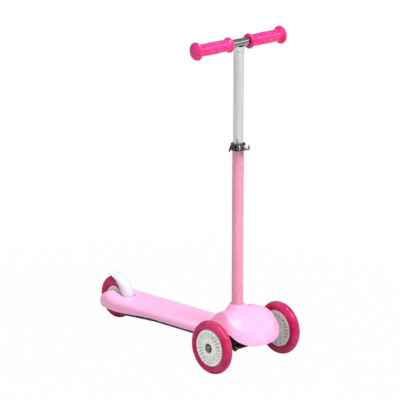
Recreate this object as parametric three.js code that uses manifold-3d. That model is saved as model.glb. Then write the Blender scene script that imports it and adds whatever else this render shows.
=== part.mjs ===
// Three wheel kids scooter that steers by leaning: two wheels in front, one behind, a telescopic T-bar.
// Millimetres, +Z up, front towards -Y, rider's left towards +X. Inside the assembly group the front
// axle is at y = 0, and the group is moved so that the origin is the middle of the footprint.
import * as THREE from 'three';
import { mergeVertices } from 'three/addons/utils/BufferGeometryUtils.js';
import Module from 'manifold-3d';

const wasm = await Module();
wasm.setup();

// Driving dimensions of the whole scooter
const wheelbase = 436;
const track = 204;
const frontTyreRadius = 60;
const rearTyreRadius = 50;
const barHeightOverFrontAxle = 659;
const barLength = 244;
const columnBehindAxle = 29;
const kingpinSpread = 96;
const kingpinTiltDegrees = 40;
const clearance = 0.3;
const overrun = 6;

// Wheels
const tyreWidth = 24;
const frontTyreDepth = 18.8;
const rearTyreDepth = 23.6;
const tyreSeatWidth = 17.6;
const frontRimLip = 5.2;
const rearRimLip = 3.4;
const hubBossHalf = 11;
const hubPlateHalf = 9.6;
const hubBossWall = 2;
const hubPocketDepth = 7;
const frontPocketLength = 13.2;
const rearPocketLength = 6.5;
const hubPocketInnerWidth = 2.2;
const hubPocketOuterWidth = 4;
const frontPocketCount = 25;
const rearPocketCount = 15;
const bearingRadius = 11;
const bearingBore = 4.15;
const bearingWidth = 7;
const bearingRecess = 1;
const bearingShoulder = 2.2;
const axleRadius = 3.9;
const axleHeadRadius = 6.5;
const axleHeadHeight = 4.2;
const socketKeyRadius = 2.8;
const socketKeyDepth = 2.4;
const spacerRadius = 6;

// Steering: knuckles between two tilted plates, joined by a tie rod in front
const kingpinRadius = 4;
const kingpinHeadRadius = 7.2;
const kingpinHeadHeight = 4.5;
const kingpinNutHeight = 6;
const kingpinTail = 1.5;
const yokePlate = 4;
const yokePlateRadius = 14;
const yokeWebHalf = 22;
const yokeWebDepth = 12;
const knuckleBelow = 10;
const knuckleAbove = 3;
const knuckleRadius = 12;
const steerSpringHeight = 6.7;
const steerSpringRadius = 9;
const steerSpringWire = 2;
const steerSpringTurns = 3;
const axleArmRadius = 9;
const axleArmEndRadius = 6.2;
const axleArmTaper = 6;
const axleArmRootGap = 1.5;
const axleGrip = 26;
const hornReach = 21;
const hornRadius = 4.5;
const hornThickness = 5;
const tieRodThickness = 4;
const tieRodHalfDepth = 5;
const tieRodNeck = 3.6;
const tiePinRadius = 2.4;
const tiePinHeadRadius = 4.4;
const tiePinHeadHeight = 2.4;

// Column, telescopic bar and grips
const lowerTubeRadius = 12.7;
const tubeWall = 1.3;
const lowerTubeTopOverAxle = 435.5;
const lowerTubeFootOverAxle = 6;
const slotWidth = 2.4;
const slotDrop = 25;
const slotReliefRadius = 2.4;
const barInsertion = 132;
const barTubeRadius = 9.5;
const barTubeWall = 1.2;
const saddleRise = 27;
const saddleSpread = 5.5;
const saddleHoleRadius = 1.6;
const saddleHoleDrop = 17;
const saddleHoleTurnDegrees = 50;
const guideLength = 8;
const guideSpigot = 14;
const gripBodyRadius = 13.6;
const gripWaistRadius = 12.9;
const gripInnerFlangeRadius = 16.9;
const gripOuterFlangeRadius = 20.3;
const gripFlangeWidth = 6.4;
const gripStart = 26.6;
const gripCapThickness = 3.6;
const gripCapDome = 3.2;

// Height clamp on the lower tube's mouth
const collarHeight = 15.3;
const collarWall = 3.1;
const collarLip = 1.6;
const clampTurnDegrees = 25;
const earReach = 23;
const earRise = 1.8;
const earRadius = 6.2;
const earOuterHalf = 4.5;
const earSlitHalf = 1.2;
const skewerRadius = 2.4;
const skewerTail = 17;
const camPivot = 11.5;
const camRadius = 5;
const camHalfWidth = 6;
const camEyeRadius = 4;
const camEyeHalf = 2.5;
const camPinRadius = 1.8;
const saddleWasherRadius = 6;
const washerThickness = 1.3;
const steelWasherRadius = 6.6;
const thumbNutRadius = 6;
const thumbNutFlute = 0.7;
const thumbNutLength = 11.4;
const thumbNutFlutes = 14;
const leverHalfWidth = 2.8;
const leverThickness = 3.2;
const leverLength = 16;
const leverHeight = 11;
const leverDrop = 8;

// Deck, under-tray and tail arms
const deckFront = 84;
const deckHalfWidth = 49;
const deckFlatHalf = 40.5;
const deckEdgeDrop = 11;
const deckTuck = 1.2;
const deckOverFrontAxle = 15.4;
const deckOverRearAxle = 9.8;
const deckSkirtFront = 18;
const deckSkirtRear = 27;
const skirtChangeStart = 250;
const deckWall = 3;
const ribThickness = 2;
const ribPitch = 54;
const trayThickness = 5.2;
const trayBevel = 2.1;
const trayInset = 2.2;
const trayPanDepth = 2;
const trayPanHalf = 28;
const trayRimLength = 16;
const trayRibHalf = 1.5;
const trayRibPlace = 12;
const trayTailGap = 3;
const screwPlace = 36;
const screwBossRadius = 4.5;
const screwRadius = 1.9;
const screwHeadRadius = 3.9;
const screwHeadHeight = 2.4;
const screwBite = 9;
const screwSink = 2.8;
const wellHalf = 15.7;
const wellFrontGap = 11.5;
const slotCorner = 13;
const tailLead = 41;
const tailReach = 38;
const tailHump = 18.3;
const tailDepth = 20.5;
const tailFlatHalf = 17.2;
const axleBossRadius = 8;
const axleBossLength = 6.3;
const rearAxleBore = 4.2;
const rearNutRadius = 6.6;
const rearNutHeight = 6.5;

// Truck: column socket, tongue into the deck, bracket under the nose cover
const socketRadius = 17;
const socketTopOverAxle = 52;
const socketFloor = 8;
const columnBoltOverAxle = 39;
const columnBoltRadius = 2.9;
const columnBoltHeadRadius = 5;
const columnBoltHeadHeight = 3.6;
const tongueHalf = 24;
const tongueEnd = 150;
const tongueEarHalf = 7;
const tongueEarThickness = 5;
const tongueEarReach = 17.5;
const gussetHalf = 3;
const bracketHalf = 26;
const bracketFront = 36;
const bracketOverAxle = 28;
const bracketThickness = 4;

// Nose cover
const noseFront = 65;
const noseTail = 98;
const noseHalfWidth = 74;
const noseHeight = 71;
const noseWall = 2.5;
const noseWallBulge = 1.5;
const noseCrown = 9.5;
const noseBoreGap = 0.6;
const noseBossRadius = 17.2;
const noseBossFrontRadius = 19.5;
const noseBossFrontDrop = 2.6;
const noseBossRearRadius = 26;
const noseBossRearDrop = 16;
const noseCollarDrop = 10.7;
const recessHalfWidth = 36.5;
const recessHalfLength = 24.5;
const recessDepth = 1;
const recessBehindFront = 38.6;
const recessDrop = 19.3;
const recessTiltDegrees = 32;
const coverPostAhead = 27;
const coverPostRadius = 4.6;

// Foot brake over the rear wheel
const brakeGap = 10.5;
const brakeThickness = 1.8;
const brakeHalfWidth = 14.3;
const brakeStartDegrees = 1;
const brakeTipDegrees = 101;
const hingeBarrelRadius = 3.5;
const hingeBarrelHalf = 12;
const hingePinRadius = 2;
const hingePinBite = 4.5;
const hingeAxleGap = 1;
const brakeSpringHalf = 5;
const brakeSpringRadius = 3.1;
const brakeSpringWire = 1.2;
const brakeSpringTurns = 2.17;
const brakeSpringLeadDegrees = 60;
const brakeSpringDrop = 7;
const padThickness = 1.2;
const padHalfWidth = 8;

// Facets
const tyreSides = 24;
const tyreArcSteps = 4;
const noseSides = 36;
const tubeSides = 16;
const knobSides = 10;
const bearingSides = 12;
const boltSides = 8;
const hexSides = 6;
const wireSides = 4;
const wireStepsPerTurn = 5;
const deckArcSteps = 3;
const archSteps = 3;

// Outlines as shares of the sizes above
// Tail arms: along the tail, half width, top height, bottom depth, how far the flat top has narrowed
const tailShares = [
  [0.19, 0.95, 0.77, 0.8, 0.35],
  [0.38, 0.88, 1, 0.88, 0.85],
  [0.52, 0.82, 1, 0.93, 1],
  [0.65, 0.745, 0.79, 0.98, 1],
  [0.78, 0.64, 0.49, 1, 1],
  [0.88, 0.55, 0.14, 1, 1],
  [0.96, 0.46, -0.36, 0.98, 1],
  [1, 0.395, -0.72, 0.93, 1],
];
const tailSideShare = 0.42;
// Nose rim: across, along, height; then crease: across, along, height, both from front to back
const noseRimShares = [
  [0, 0, 0],
  [0.338, 0.037, -0.003],
  [0.5, 0.058, 0.017],
  [0.703, 0.101, 0.099],
  [0.861, 0.16, 0.206],
  [0.959, 0.23, 0.345],
  [1, 0.319, 0.415],
  [0.98, 0.448, 0.437],
  [0.905, 0.601, 0.345],
  [0.804, 0.755, 0.155],
  [0.723, 0.89, -0.014],
  [0.682, 0.975, -0.077],
  [0.622, 1, 0.092],
  [0.324, 0.969, 0.124],
  [0, 0.954, 0.132],
];
const noseCreaseShares = [
  [0, 0.04, 0.218],
  [0.243, 0.074, 0.239],
  [0.405, 0.098, 0.31],
  [0.57, 0.136, 0.448],
  [0.696, 0.187, 0.535],
  [0.791, 0.242, 0.606],
  [0.831, 0.307, 0.697],
  [0.776, 0.387, 0.803],
  [0.662, 0.48, 0.859],
  [0.581, 0.571, 0.866],
  [0.561, 0.65, 0.817],
  [0.554, 0.715, 0.725],
  [0.459, 0.755, 0.683],
  [0.243, 0.767, 0.683],
  [0, 0.77, 0.683],
];
// Rows over the dome: along the way to the crease, and of the crown; then rows down the wall
const noseTopRowShares = [[0.33, 0.75], [0.68, 1]];
const noseWallRowShares = [0.2, 0.6];
// Foot brake rows: along its arc, gap over the tyre, reach of the skirts as a share of the wheel's radius
const brakeShares = [
  [0, 0.095, 0.8],
  [0.13, 0.12, 0.76],
  [0.27, 0.16, 0.68],
  [0.41, 0.21, 0.706],
  [0.56, 0.25, 0.776],
  [0.69, 0.33, 0.85],
  [0.81, 0.43, 0.93],
  [0.91, 0.57, 1.006],
  [1, 1, 1.1],
];
const padStartShare = 0.6;
const padEndShare = 0.95;
const bracketGussetShare = 0.5;
const saddleShares = [0, 0.5, 0.8, 1];
const leverShares = [[0, 0.1], [0.3, 0.85], [0.55, 1], [0.8, 0.35], [1, -0.72]];

// Places that follow from the driving dimensions
const frontAxleHeight = frontTyreRadius;
const rearAxleHeight = rearTyreRadius;
const wheelPlace = track / 2;
const kingpinPlace = kingpinSpread / 2;
const kingpinTilt = THREE.MathUtils.degToRad(kingpinTiltDegrees);
const barHeight = frontAxleHeight + barHeightOverFrontAxle;
const lowerTubeTop = frontAxleHeight + lowerTubeTopOverAxle;
const lowerTubeFoot = frontAxleHeight + lowerTubeFootOverAxle;
const upperTubeRadius = lowerTubeRadius - tubeWall - clearance;
const upperTubeInner = upperTubeRadius - tubeWall;
const upperTubeFoot = lowerTubeTop - barInsertion;
const collarTop = lowerTubeTop + clearance + collarLip;
const clampHeight = collarTop - collarHeight / 2;
const yokeHalfGap = knuckleBelow + clearance;
const yokeHalf = yokeHalfGap + yokePlate;
const bearingFace = hubBossHalf - bearingRecess;
const wellFront = wheelbase - rearTyreRadius - wellFrontGap;
const tailStart = wheelbase - tailLead;
const tailEnd = wheelbase + tailReach;
const armWall = wellHalf + deckWall;
const hingeY = wheelbase - rearTyreRadius - hingeAxleGap - hingeBarrelRadius;
const hingeZ = rearAxleHeight;
const brakeFootGap = brakeGap * brakeShares[0][1];
const slotFront = wheelbase - rearTyreRadius - brakeFootGap - brakeThickness - clearance;
const noseLength = noseFront + noseTail;
const noseTop = frontAxleHeight + noseHeight;
const bracketBase = frontAxleHeight + bracketOverAxle;
const socketTop = frontAxleHeight + socketTopOverAxle;
const columnBoltHeight = frontAxleHeight + columnBoltOverAxle;
const screwRows = [deckFront + deckHalfWidth / 2, wellFront - deckWall - ribPitch / 2];

// Looks
const look = (color, roughness, metalness = 0) => ({ color, roughness, metalness });
const pinkDeck = look(0xfcb9de, 0.42);
const pinkNose = look(0xfdbfe2, 0.38);
const pinkTube = look(0xe996b8, 0.4);
const hotPink = look(0xf94fa2, 0.45);
const tyreRed = look(0xc7406b, 0.25);
const hubWhite = look(0xe9ece8, 0.4);
const fenderWhite = look(0xf4f2f8, 0.4);
const black = look(0x1f1b20, 0.55);
const silver = look(0xd2d2d4, 0.35, 0.8);
const chrome = look(0xb4bdc0, 0.15, 1);
const steel = look(0x9da0a3, 0.35, 1);
const springSteel = look(0x7d8084, 0.4, 1);
const nylon = look(0xd8d4cc, 0.6);

// Solids and meshes
const corner = new THREE.Vector3();
const edgeOne = new THREE.Vector3();
const edgeTwo = new THREE.Vector3();

const enclosedVolume = (positions, faces) => {
  let volume = 0;
  for (let k = 0; k < faces.length; k += 3) {
    corner.fromArray(positions, faces[k] * 3);
    edgeOne.fromArray(positions, faces[k + 1] * 3);
    edgeTwo.fromArray(positions, faces[k + 2] * 3);
    volume += corner.dot(edgeOne.cross(edgeTwo));
  }
  return volume;
};

const solidOf = (geometry) => {
  const bare = geometry.clone();
  bare.deleteAttribute('normal');
  bare.deleteAttribute('uv');
  const merged = mergeVertices(bare);
  const positions = merged.attributes.position.array;
  const faces = [];
  const source = merged.index.array;
  for (let k = 0; k < source.length; k += 3) {
    const [a, b, c] = [source[k], source[k + 1], source[k + 2]];
    if (a !== b && b !== c && c !== a) faces.push(a, b, c);
  }
  if (enclosedVolume(positions, faces) < 0) faces.reverse();
  return new wasm.Manifold(new wasm.Mesh({
    numProp: 3,
    vertProperties: new Float32Array(positions),
    triVerts: new Uint32Array(faces),
  }));
};

const geometryOf = (solid) => {
  const mesh = solid.getMesh();
  const geometry = new THREE.BufferGeometry();
  geometry.setAttribute('position', new THREE.BufferAttribute(new Float32Array(mesh.vertProperties), 3));
  geometry.setIndex(new THREE.BufferAttribute(new Uint32Array(mesh.triVerts), 1));
  geometry.computeVertexNormals();
  return geometry;
};

const moved = (solid, x, y, z) => solidOf(geometryOf(solid).translate(x, y, z));
const mirrored = (solid) => solidOf(geometryOf(solid).scale(-1, 1, 1));
const joined = (solids) => solids.reduce((whole, solid) => whole.add(solid));
const without = (solid, cutters) => cutters.reduce((rest, cutter) => rest.subtract(cutter), solid);

const scooter = new THREE.Group();

const place = (name, solid, finish, parent = scooter) => {
  const material = new THREE.MeshStandardMaterial(finish);
  const mesh = new THREE.Mesh(geometryOf(solid), material);
  mesh.name = name;
  parent.add(mesh);
  return mesh;
};

// Shape builders
const vector = (x, y, z) => new THREE.Vector3(x, y, z);

const lathed = (profile, sides) => {
  const points = profile.map(([radius, height]) => new THREE.Vector2(radius, height));
  return new THREE.LatheGeometry(points, sides, Math.PI / sides);
};

const turnedZ = (profile, sides) => solidOf(lathed(profile, sides).rotateX(Math.PI / 2));
const turnedX = (profile, sides) => solidOf(lathed(profile, sides).rotateZ(-Math.PI / 2));
const turnedY = (profile, sides) => solidOf(lathed(profile, sides));

const rodProfile = (radius, from, to) => [[0, from], [radius, from], [radius, to], [0, to]];
const ringProfile = (inner, outer, from, to) => [
  [inner, from], [outer, from], [outer, to], [inner, to], [inner, from],
];

// A hole's facets lie outside its radius, so that a round piece of that radius passes through it
const holeRadius = (radius, sides) => radius / Math.cos(Math.PI / sides);
const rodX = (radius, from, to, sides = boltSides) => turnedX(rodProfile(radius, from, to), sides);
const rodY = (radius, from, to, sides = boltSides) => turnedY(rodProfile(radius, from, to), sides);
const rodZ = (radius, from, to, sides = boltSides) => turnedZ(rodProfile(radius, from, to), sides);

const holeX = (radius, from, to) => rodX(holeRadius(radius, boltSides), from, to);
const holeY = (radius, from, to) => rodY(holeRadius(radius, boltSides), from, to);
const holeZ = (radius, from, to) => rodZ(holeRadius(radius, boltSides), from, to);

const block = (fromX, toX, fromY, toY, fromZ, toZ) => {
  const box = new THREE.BoxGeometry(toX - fromX, toY - fromY, toZ - fromZ);
  return solidOf(box.translate((fromX + toX) / 2, (fromY + toY) / 2, (fromZ + toZ) / 2));
};

const shapeOf = (points) => new THREE.Shape(points.map(([x, y]) => new THREE.Vector2(x, y)));

const slab = (shape, depth) => new THREE.ExtrudeGeometry(shape, {
  depth,
  bevelEnabled: false,
  curveSegments: boltSides / 2,
});

// An outline in (y, z), given thickness across X
const finX = (points, half) => {
  const turn = new THREE.Matrix4().makeBasis(vector(0, 1, 0), vector(0, 0, 1), vector(1, 0, 0));
  return solidOf(slab(shapeOf(points), half * 2).translate(0, 0, -half).applyMatrix4(turn));
};

const ringCap = (ring, reversed) => {
  const normal = ring.reduce((sum, point, k) => {
    const next = ring[(k + 1) % ring.length];
    return sum.add(new THREE.Vector3().crossVectors(point, next));
  }, vector(0, 0, 0)).normalize();
  const sideways = Math.abs(normal.x) > Math.SQRT1_2 ? vector(0, 1, 0) : vector(1, 0, 0);
  const across = sideways.addScaledVector(normal, -sideways.dot(normal)).normalize();
  const along = new THREE.Vector3().crossVectors(normal, across);
  const flat = ring.map((point) => new THREE.Vector2(point.dot(across), point.dot(along)));
  const outline = THREE.ShapeUtils.area(flat);
  return THREE.ShapeUtils.triangulateShape(flat, []).map(([a, b, c]) => {
    const turnedOver = THREE.ShapeUtils.area([flat[a], flat[b], flat[c]]) * outline < 0;
    return turnedOver === reversed ? [a, b, c] : [a, c, b];
  });
};

// Skin over rings of equally many points; its ends are closed, or the last ring meets the first
const lofted = (rings, endless = false) => {
  const count = rings[0].length;
  const positions = rings.flat().flatMap((point) => [point.x, point.y, point.z]);
  const faces = [];
  const spans = endless ? rings.length : rings.length - 1;
  for (let k = 0; k < spans; k += 1) {
    const here = k * count;
    const there = ((k + 1) % rings.length) * count;
    for (let i = 0; i < count; i += 1) {
      const j = (i + 1) % count;
      faces.push(here + i, here + j, there + j, here + i, there + j, there + i);
    }
  }
  if (!endless) {
    const lastRing = spans * count;
    ringCap(rings[0], true).forEach((face) => faces.push(...face));
    ringCap(rings[spans], false).forEach((face) => faces.push(...face.map((index) => index + lastRing)));
  }
  const geometry = new THREE.BufferGeometry();
  geometry.setAttribute('position', new THREE.Float32BufferAttribute(positions, 3));
  geometry.setIndex(faces);
  return solidOf(geometry);
};

const mirroredRing = (half) => {
  const other = half.map((point) => vector(-point.x, point.y, point.z)).reverse();
  return [...half, ...other];
};

// Half an outline in (x, z) that starts and ends on the axis, with its other half added
const mirroredOutline = (half) => {
  const other = half.slice(1, -1).map(([x, z]) => [-x, z]).reverse();
  return [...half, ...other];
};

const wireAlong = (points, wireRadius, steps) => {
  const section = [];
  for (let k = 0; k < wireSides; k += 1) {
    const turn = (k / wireSides) * 2 * Math.PI;
    section.push([wireRadius * Math.cos(turn), wireRadius * Math.sin(turn)]);
  }
  const path = new THREE.CatmullRomCurve3(points, false, 'centripetal');
  return solidOf(new THREE.ExtrudeGeometry(shapeOf(section), { steps, extrudePath: path }));
};

const hexHead = (radius, from, to) => rodZ(radius, from, to, hexSides);

// Height of the deck's standing surface and of its lower edge at a place along the scooter
const deckTopAt = (y) => THREE.MathUtils.lerp(
  frontAxleHeight + deckOverFrontAxle,
  rearAxleHeight + deckOverRearAxle,
  y / wheelbase,
);
const deckEdgeAt = (y) => {
  const change = THREE.MathUtils.smoothstep(y, skirtChangeStart, tailStart);
  return deckTopAt(y) - THREE.MathUtils.lerp(deckSkirtFront, deckSkirtRear, change);
};

// Wheels
const tyre = ({ radius, tyreDepth }) => {
  const fullRadius = radius / Math.cos(Math.PI / tyreSides);
  const crown = tyreWidth / 2;
  const bore = fullRadius - tyreDepth;
  const profile = [[bore, tyreSeatWidth / 2]];
  for (let k = 0; k <= tyreArcSteps; k += 1) {
    const turn = (k / tyreArcSteps) * Math.PI;
    profile.push([fullRadius - crown + crown * Math.sin(turn), crown * Math.cos(turn)]);
  }
  profile.push([bore, -tyreSeatWidth / 2], [bore, tyreSeatWidth / 2]);
  return turnedX(profile, tyreSides);
};

const hubPocket = (inner, outer) => {
  const outline = shapeOf([
    [inner, -hubPocketInnerWidth / 2],
    [outer, -hubPocketOuterWidth / 2],
    [outer, hubPocketOuterWidth / 2],
    [inner, hubPocketInnerWidth / 2],
  ]);
  return slab(outline, hubPocketDepth + overrun);
};

const hub = ({ radius, tyreDepth, rimLip, pocketLength, pocketCount }) => {
  const rim = radius - tyreDepth - clearance;
  const plate = rim - rimLip - pocketLength;
  const side = [
    [0, hubBossHalf],
    [bearingRadius + hubBossWall, hubBossHalf],
    [plate, hubPlateHalf],
    [rim, tyreSeatWidth / 2],
  ];
  const otherSide = side.map(([r, x]) => [r, -x]).reverse();
  const seat = holeRadius(bearingRadius + clearance / 2, bearingSides);
  const shoulder = bearingFace - bearingWidth - clearance / 2;
  const cutters = [
    rodX(bearingRadius - bearingShoulder, -shoulder - overrun, shoulder + overrun, bearingSides),
    rodX(seat, shoulder, hubBossHalf + overrun, bearingSides),
    rodX(seat, -hubBossHalf - overrun, -shoulder, bearingSides),
  ];
  for (let k = 0; k < pocketCount; k += 1) {
    const turn = (k / pocketCount) * 2 * Math.PI;
    [1, -1].forEach((face) => {
      const pocket = hubPocket(plate, rim - rimLip);
      pocket.translate(0, 0, hubPlateHalf - hubPocketDepth);
      pocket.rotateY(face * Math.PI / 2);
      cutters.push(solidOf(pocket.rotateX(turn)));
    });
  }
  return without(turnedX([...side, ...otherSide], pocketCount), cutters);
};

const spacerBore = holeRadius(bearingBore, boltSides);
const bearing = () => turnedX(
  ringProfile(bearingBore, bearingRadius, -bearingWidth / 2, bearingWidth / 2),
  bearingSides,
);

const wheel = (label, sizes) => {
  const group = new THREE.Group();
  place(`${label}_tyre`, tyre(sizes), tyreRed, group);
  place(`${label}_hub`, hub(sizes), hubWhite, group);
  [['left', 1], ['right', -1]].forEach(([side, sign]) => {
    const ring = place(`${label}_bearing_${side}`, bearing(), steel, group);
    ring.position.x = sign * (bearingFace - bearingWidth / 2);
  });
  const sleeveHalf = bearingFace - bearingWidth - clearance;
  const sleeve = ringProfile(spacerBore, spacerRadius, -sleeveHalf, sleeveHalf);
  place(`${label}_spacer`, turnedX(sleeve, boltSides), steel, group);
  scooter.add(group);
  return group;
};

const keySocket = (face) => {
  const key = new THREE.CylinderGeometry(socketKeyRadius, socketKeyRadius, socketKeyDepth * 2, hexSides);
  return solidOf(key.rotateZ(Math.PI / 2).translate(face, 0, 0));
};

const axleBolt = (headFace, tip) => {
  const bolt = turnedX([
    [0, tip],
    [axleRadius, tip],
    [axleRadius, headFace],
    [axleHeadRadius, headFace],
    [axleHeadRadius, headFace + axleHeadHeight / 2],
    [axleHeadRadius * Math.SQRT1_2, headFace + axleHeadHeight],
    [0, headFace + axleHeadHeight],
  ], knobSides);
  return bolt.subtract(keySocket(headFace + axleHeadHeight));
};

const frontWheelSizes = {
  radius: frontTyreRadius,
  tyreDepth: frontTyreDepth,
  rimLip: frontRimLip,
  pocketLength: frontPocketLength,
  pocketCount: frontPocketCount,
};
[['left', 1], ['right', -1]].forEach(([side, sign]) => {
  const group = wheel(`front_${side}`, frontWheelSizes);
  group.position.set(sign * wheelPlace, 0, frontAxleHeight);
  const tip = bearingFace - bearingWidth * 2 - axleGrip;
  const bolt = place(`front_${side}_axle_bolt`, axleBolt(bearingFace + clearance, tip), steel);
  bolt.position.copy(group.position);
  bolt.rotation.z = sign > 0 ? 0 : Math.PI;
});

const rearWheel = wheel('rear', {
  radius: rearTyreRadius,
  tyreDepth: rearTyreDepth,
  rimLip: rearRimLip,
  pocketLength: rearPocketLength,
  pocketCount: rearPocketCount,
});
rearWheel.position.set(0, wheelbase, rearAxleHeight);

// Rear axle through the tail arms
const rearHeadFace = armWall + axleBossLength + clearance;
const rearBolt = place(
  'rear_axle_bolt',
  axleBolt(rearHeadFace, -rearHeadFace - rearNutHeight - clearance),
  steel,
);
rearBolt.position.copy(rearWheel.position);

const hexNutX = (bore, radius, height) => rodX(radius, 0, height, hexSides).subtract(
  holeX(bore, -overrun, height + overrun),
);
const rearNut = place(
  'rear_axle_nut',
  hexNutX(axleRadius + clearance / 2, rearNutRadius, rearNutHeight),
  steel,
);
rearNut.position.set(-rearHeadFace - rearNutHeight, wheelbase, rearAxleHeight);

[['left', 1], ['right', -1]].forEach(([side, sign]) => {
  const length = wellHalf - bearingFace - 2 * clearance;
  const ring = turnedX(ringProfile(spacerBore, spacerRadius, -length / 2, length / 2), boltSides);
  const spacer = place(`rear_arm_spacer_${side}`, ring, steel);
  spacer.position.set(sign * (bearingFace + wellHalf) / 2, wheelbase, rearAxleHeight);
});

// Deck shell: convex sides, flat top, two hollow arms beside the rear wheel
const deckSection = (y, half, flatHalf, top, bottom, side) => {
  const points = [];
  for (let k = 0; k <= deckArcSteps; k += 1) {
    const turn = (k / deckArcSteps) * (Math.PI / 2);
    points.push(vector(
      flatHalf + (half - flatHalf) * Math.sin(turn),
      y,
      side + (top - side) * Math.cos(turn),
    ));
  }
  points.push(vector(half - deckTuck, y, bottom));
  return mirroredRing(points);
};

const deckPlaces = (front) => [
  front,
  (front + skirtChangeStart) / 2,
  skirtChangeStart,
  (skirtChangeStart + wellFront) / 2,
];

// The deck's skin drawn in by a wall, or let out when the wall is negative
const deckSkin = (wall, front, bottomDrop) => {
  const rings = [];
  [...deckPlaces(front), wellFront, tailStart].forEach((y) => {
    const top = deckTopAt(y) - wall;
    rings.push(deckSection(
      y,
      deckHalfWidth - wall,
      deckFlatHalf - wall / 2,
      top,
      deckEdgeAt(y) - bottomDrop,
      top - deckEdgeDrop,
    ));
  });
  const tailLength = tailEnd - tailStart - Math.max(wall, 0);
  tailShares.forEach(([along, halfShare, topShare, bottomShare, narrowShare]) => {
    const top = rearAxleHeight + topShare * tailHump - wall;
    const edge = rearAxleHeight - bottomShare * tailDepth;
    const half = halfShare * deckHalfWidth - wall;
    const flatHalf = Math.min(
      THREE.MathUtils.lerp(deckFlatHalf, tailFlatHalf, narrowShare) - wall / 2,
      half - Math.abs(wall) / 2,
    );
    const side = THREE.MathUtils.lerp(top, edge, tailSideShare);
    rings.push(deckSection(tailStart + along * tailLength, half, flatHalf, top, edge - bottomDrop, side));
  });
  return lofted(rings);
};

const screwSpots = screwRows.flatMap((y) => [[-screwPlace, y], [screwPlace, y]]);
const farOff = barHeight;

const standing = (solid, x, y) => moved(solid, x, y, 0);
const upright = (fromX, toX, fromY, toY) => block(fromX, toX, fromY, toY, -farOff, farOff);

const deckHollow = () => {
  const rib = ribThickness / 2;
  const keep = [upright(-armWall, armWall, wellFront - deckWall, tailEnd + overrun)];
  for (let y = wellFront - deckWall - rib; y > tongueEnd + overrun; y -= ribPitch) {
    keep.push(upright(-deckHalfWidth, deckHalfWidth, y - rib, y + rib));
  }
  keep.push(upright(-rib, rib, tongueEnd + ribThickness, wellFront));
  screwSpots.forEach(([x, y]) => keep.push(standing(rodZ(screwBossRadius, -farOff, farOff), x, y)));
  const armBoss = rodX(axleBossRadius, -armWall - axleBossLength, armWall + axleBossLength);
  keep.push(moved(armBoss, 0, wheelbase, rearAxleHeight));
  return without(deckSkin(deckWall, deckFront - overrun, overrun), keep);
};

const tongueBottomAt = (y) => deckEdgeAt(y) + clearance;
const earSpots = [-1, 1].map((sign) => [sign * (tongueHalf + tongueEarReach / 2), screwRows[0]]);

const earBlock = (grow) => joined(earSpots.map(([x, y]) => {
  const base = tongueBottomAt(y + tongueEarHalf);
  return block(
    x - tongueEarReach / 2 - grow,
    x + tongueEarReach / 2 + grow,
    y - tongueEarHalf - grow,
    y + tongueEarHalf + grow,
    base - grow,
    base + tongueEarThickness + grow,
  );
}));

const screwShaftTop = (y) => deckEdgeAt(y) + screwBite + (y === screwRows[0] ? tongueEarThickness : 0);

// Slot in the standing surface, round in front of the foot brake
const tyreSlot = () => {
  const slot = new THREE.Shape();
  const round = slotFront + slotCorner;
  slot.moveTo(wellHalf, tailEnd + overrun);
  slot.lineTo(-wellHalf, tailEnd + overrun);
  slot.absarc(slotCorner - wellHalf, round, slotCorner, Math.PI, Math.PI * 1.5, false);
  slot.absarc(wellHalf - slotCorner, round, slotCorner, Math.PI * 1.5, Math.PI * 2, false);
  return solidOf(slab(slot, farOff));
};

const deckShell = () => {
  const cutters = [
    deckHollow(),
    tyreSlot(),
    block(-wellHalf, wellHalf, wellFront, tailEnd, -farOff, deckTopAt(slotFront) - deckWall),
    moved(holeX(rearAxleBore, -rearHeadFace, rearHeadFace), 0, wheelbase, rearAxleHeight),
    moved(holeX(hingePinRadius + clearance / 2, -armWall - overrun, armWall + overrun), 0, hingeY, hingeZ),
    earBlock(clearance),
  ];
  screwSpots.forEach(([x, y]) => {
    const hole = holeZ(screwRadius + clearance / 2, 0, screwShaftTop(y) + clearance);
    cutters.push(standing(hole, x, y));
  });
  return without(deckSkin(0, deckFront, 0), cutters);
};
place('deck_shell', deckShell(), pinkDeck);

// Under-tray: a plate with a pan on its underside, split by two ribs
const trayTopAt = (y) => deckEdgeAt(y) - clearance;

const trayPlate = (half, from, to, drop, thickness) => {
  const rings = [...deckPlaces(from), to].map((y) => {
    const top = trayTopAt(y) - drop;
    return mirroredRing([
      vector(half, y, top),
      vector(half, y, top - thickness + trayBevel),
      vector(half - trayBevel, y, top - thickness),
    ]);
  });
  return lofted(rings);
};

const underTray = () => {
  const end = wellFront - trayTailGap;
  const pan = trayPlate(
    trayPanHalf,
    deckFront + trayRimLength,
    end - trayRimLength,
    trayThickness - trayPanDepth,
    trayThickness,
  );
  const ribs = [-1, 1].map((sign) => upright(
    sign * trayRibPlace - trayRibHalf,
    sign * trayRibPlace + trayRibHalf,
    deckFront,
    end,
  ));
  const cutters = [without(pan, ribs)];
  screwSpots.forEach(([x, y]) => {
    const underside = trayTopAt(y) - trayThickness;
    cutters.push(standing(holeZ(screwRadius + clearance, 0, farOff), x, y));
    cutters.push(standing(holeZ(screwHeadRadius + clearance, 0, underside + screwSink), x, y));
  });
  return without(trayPlate(deckHalfWidth - trayInset, deckFront, end, 0, trayThickness), cutters);
};
place('under_tray', underTray(), black);

const panHead = (shaftRadius, headRadius, headHeight, shaftLength) => turnedZ([
  [0, -headHeight],
  [headRadius, -headHeight / 2],
  [headRadius, 0],
  [shaftRadius, 0],
  [shaftRadius, shaftLength],
  [0, shaftLength],
], boltSides);

screwSpots.forEach(([x, y], k) => {
  const seat = trayTopAt(y) - trayThickness + screwSink;
  const screw = panHead(screwRadius, screwHeadRadius, screwHeadHeight, screwShaftTop(y) - seat);
  place(`tray_screw_${k + 1}`, screw, steel).position.set(x, y, seat);
});

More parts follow.
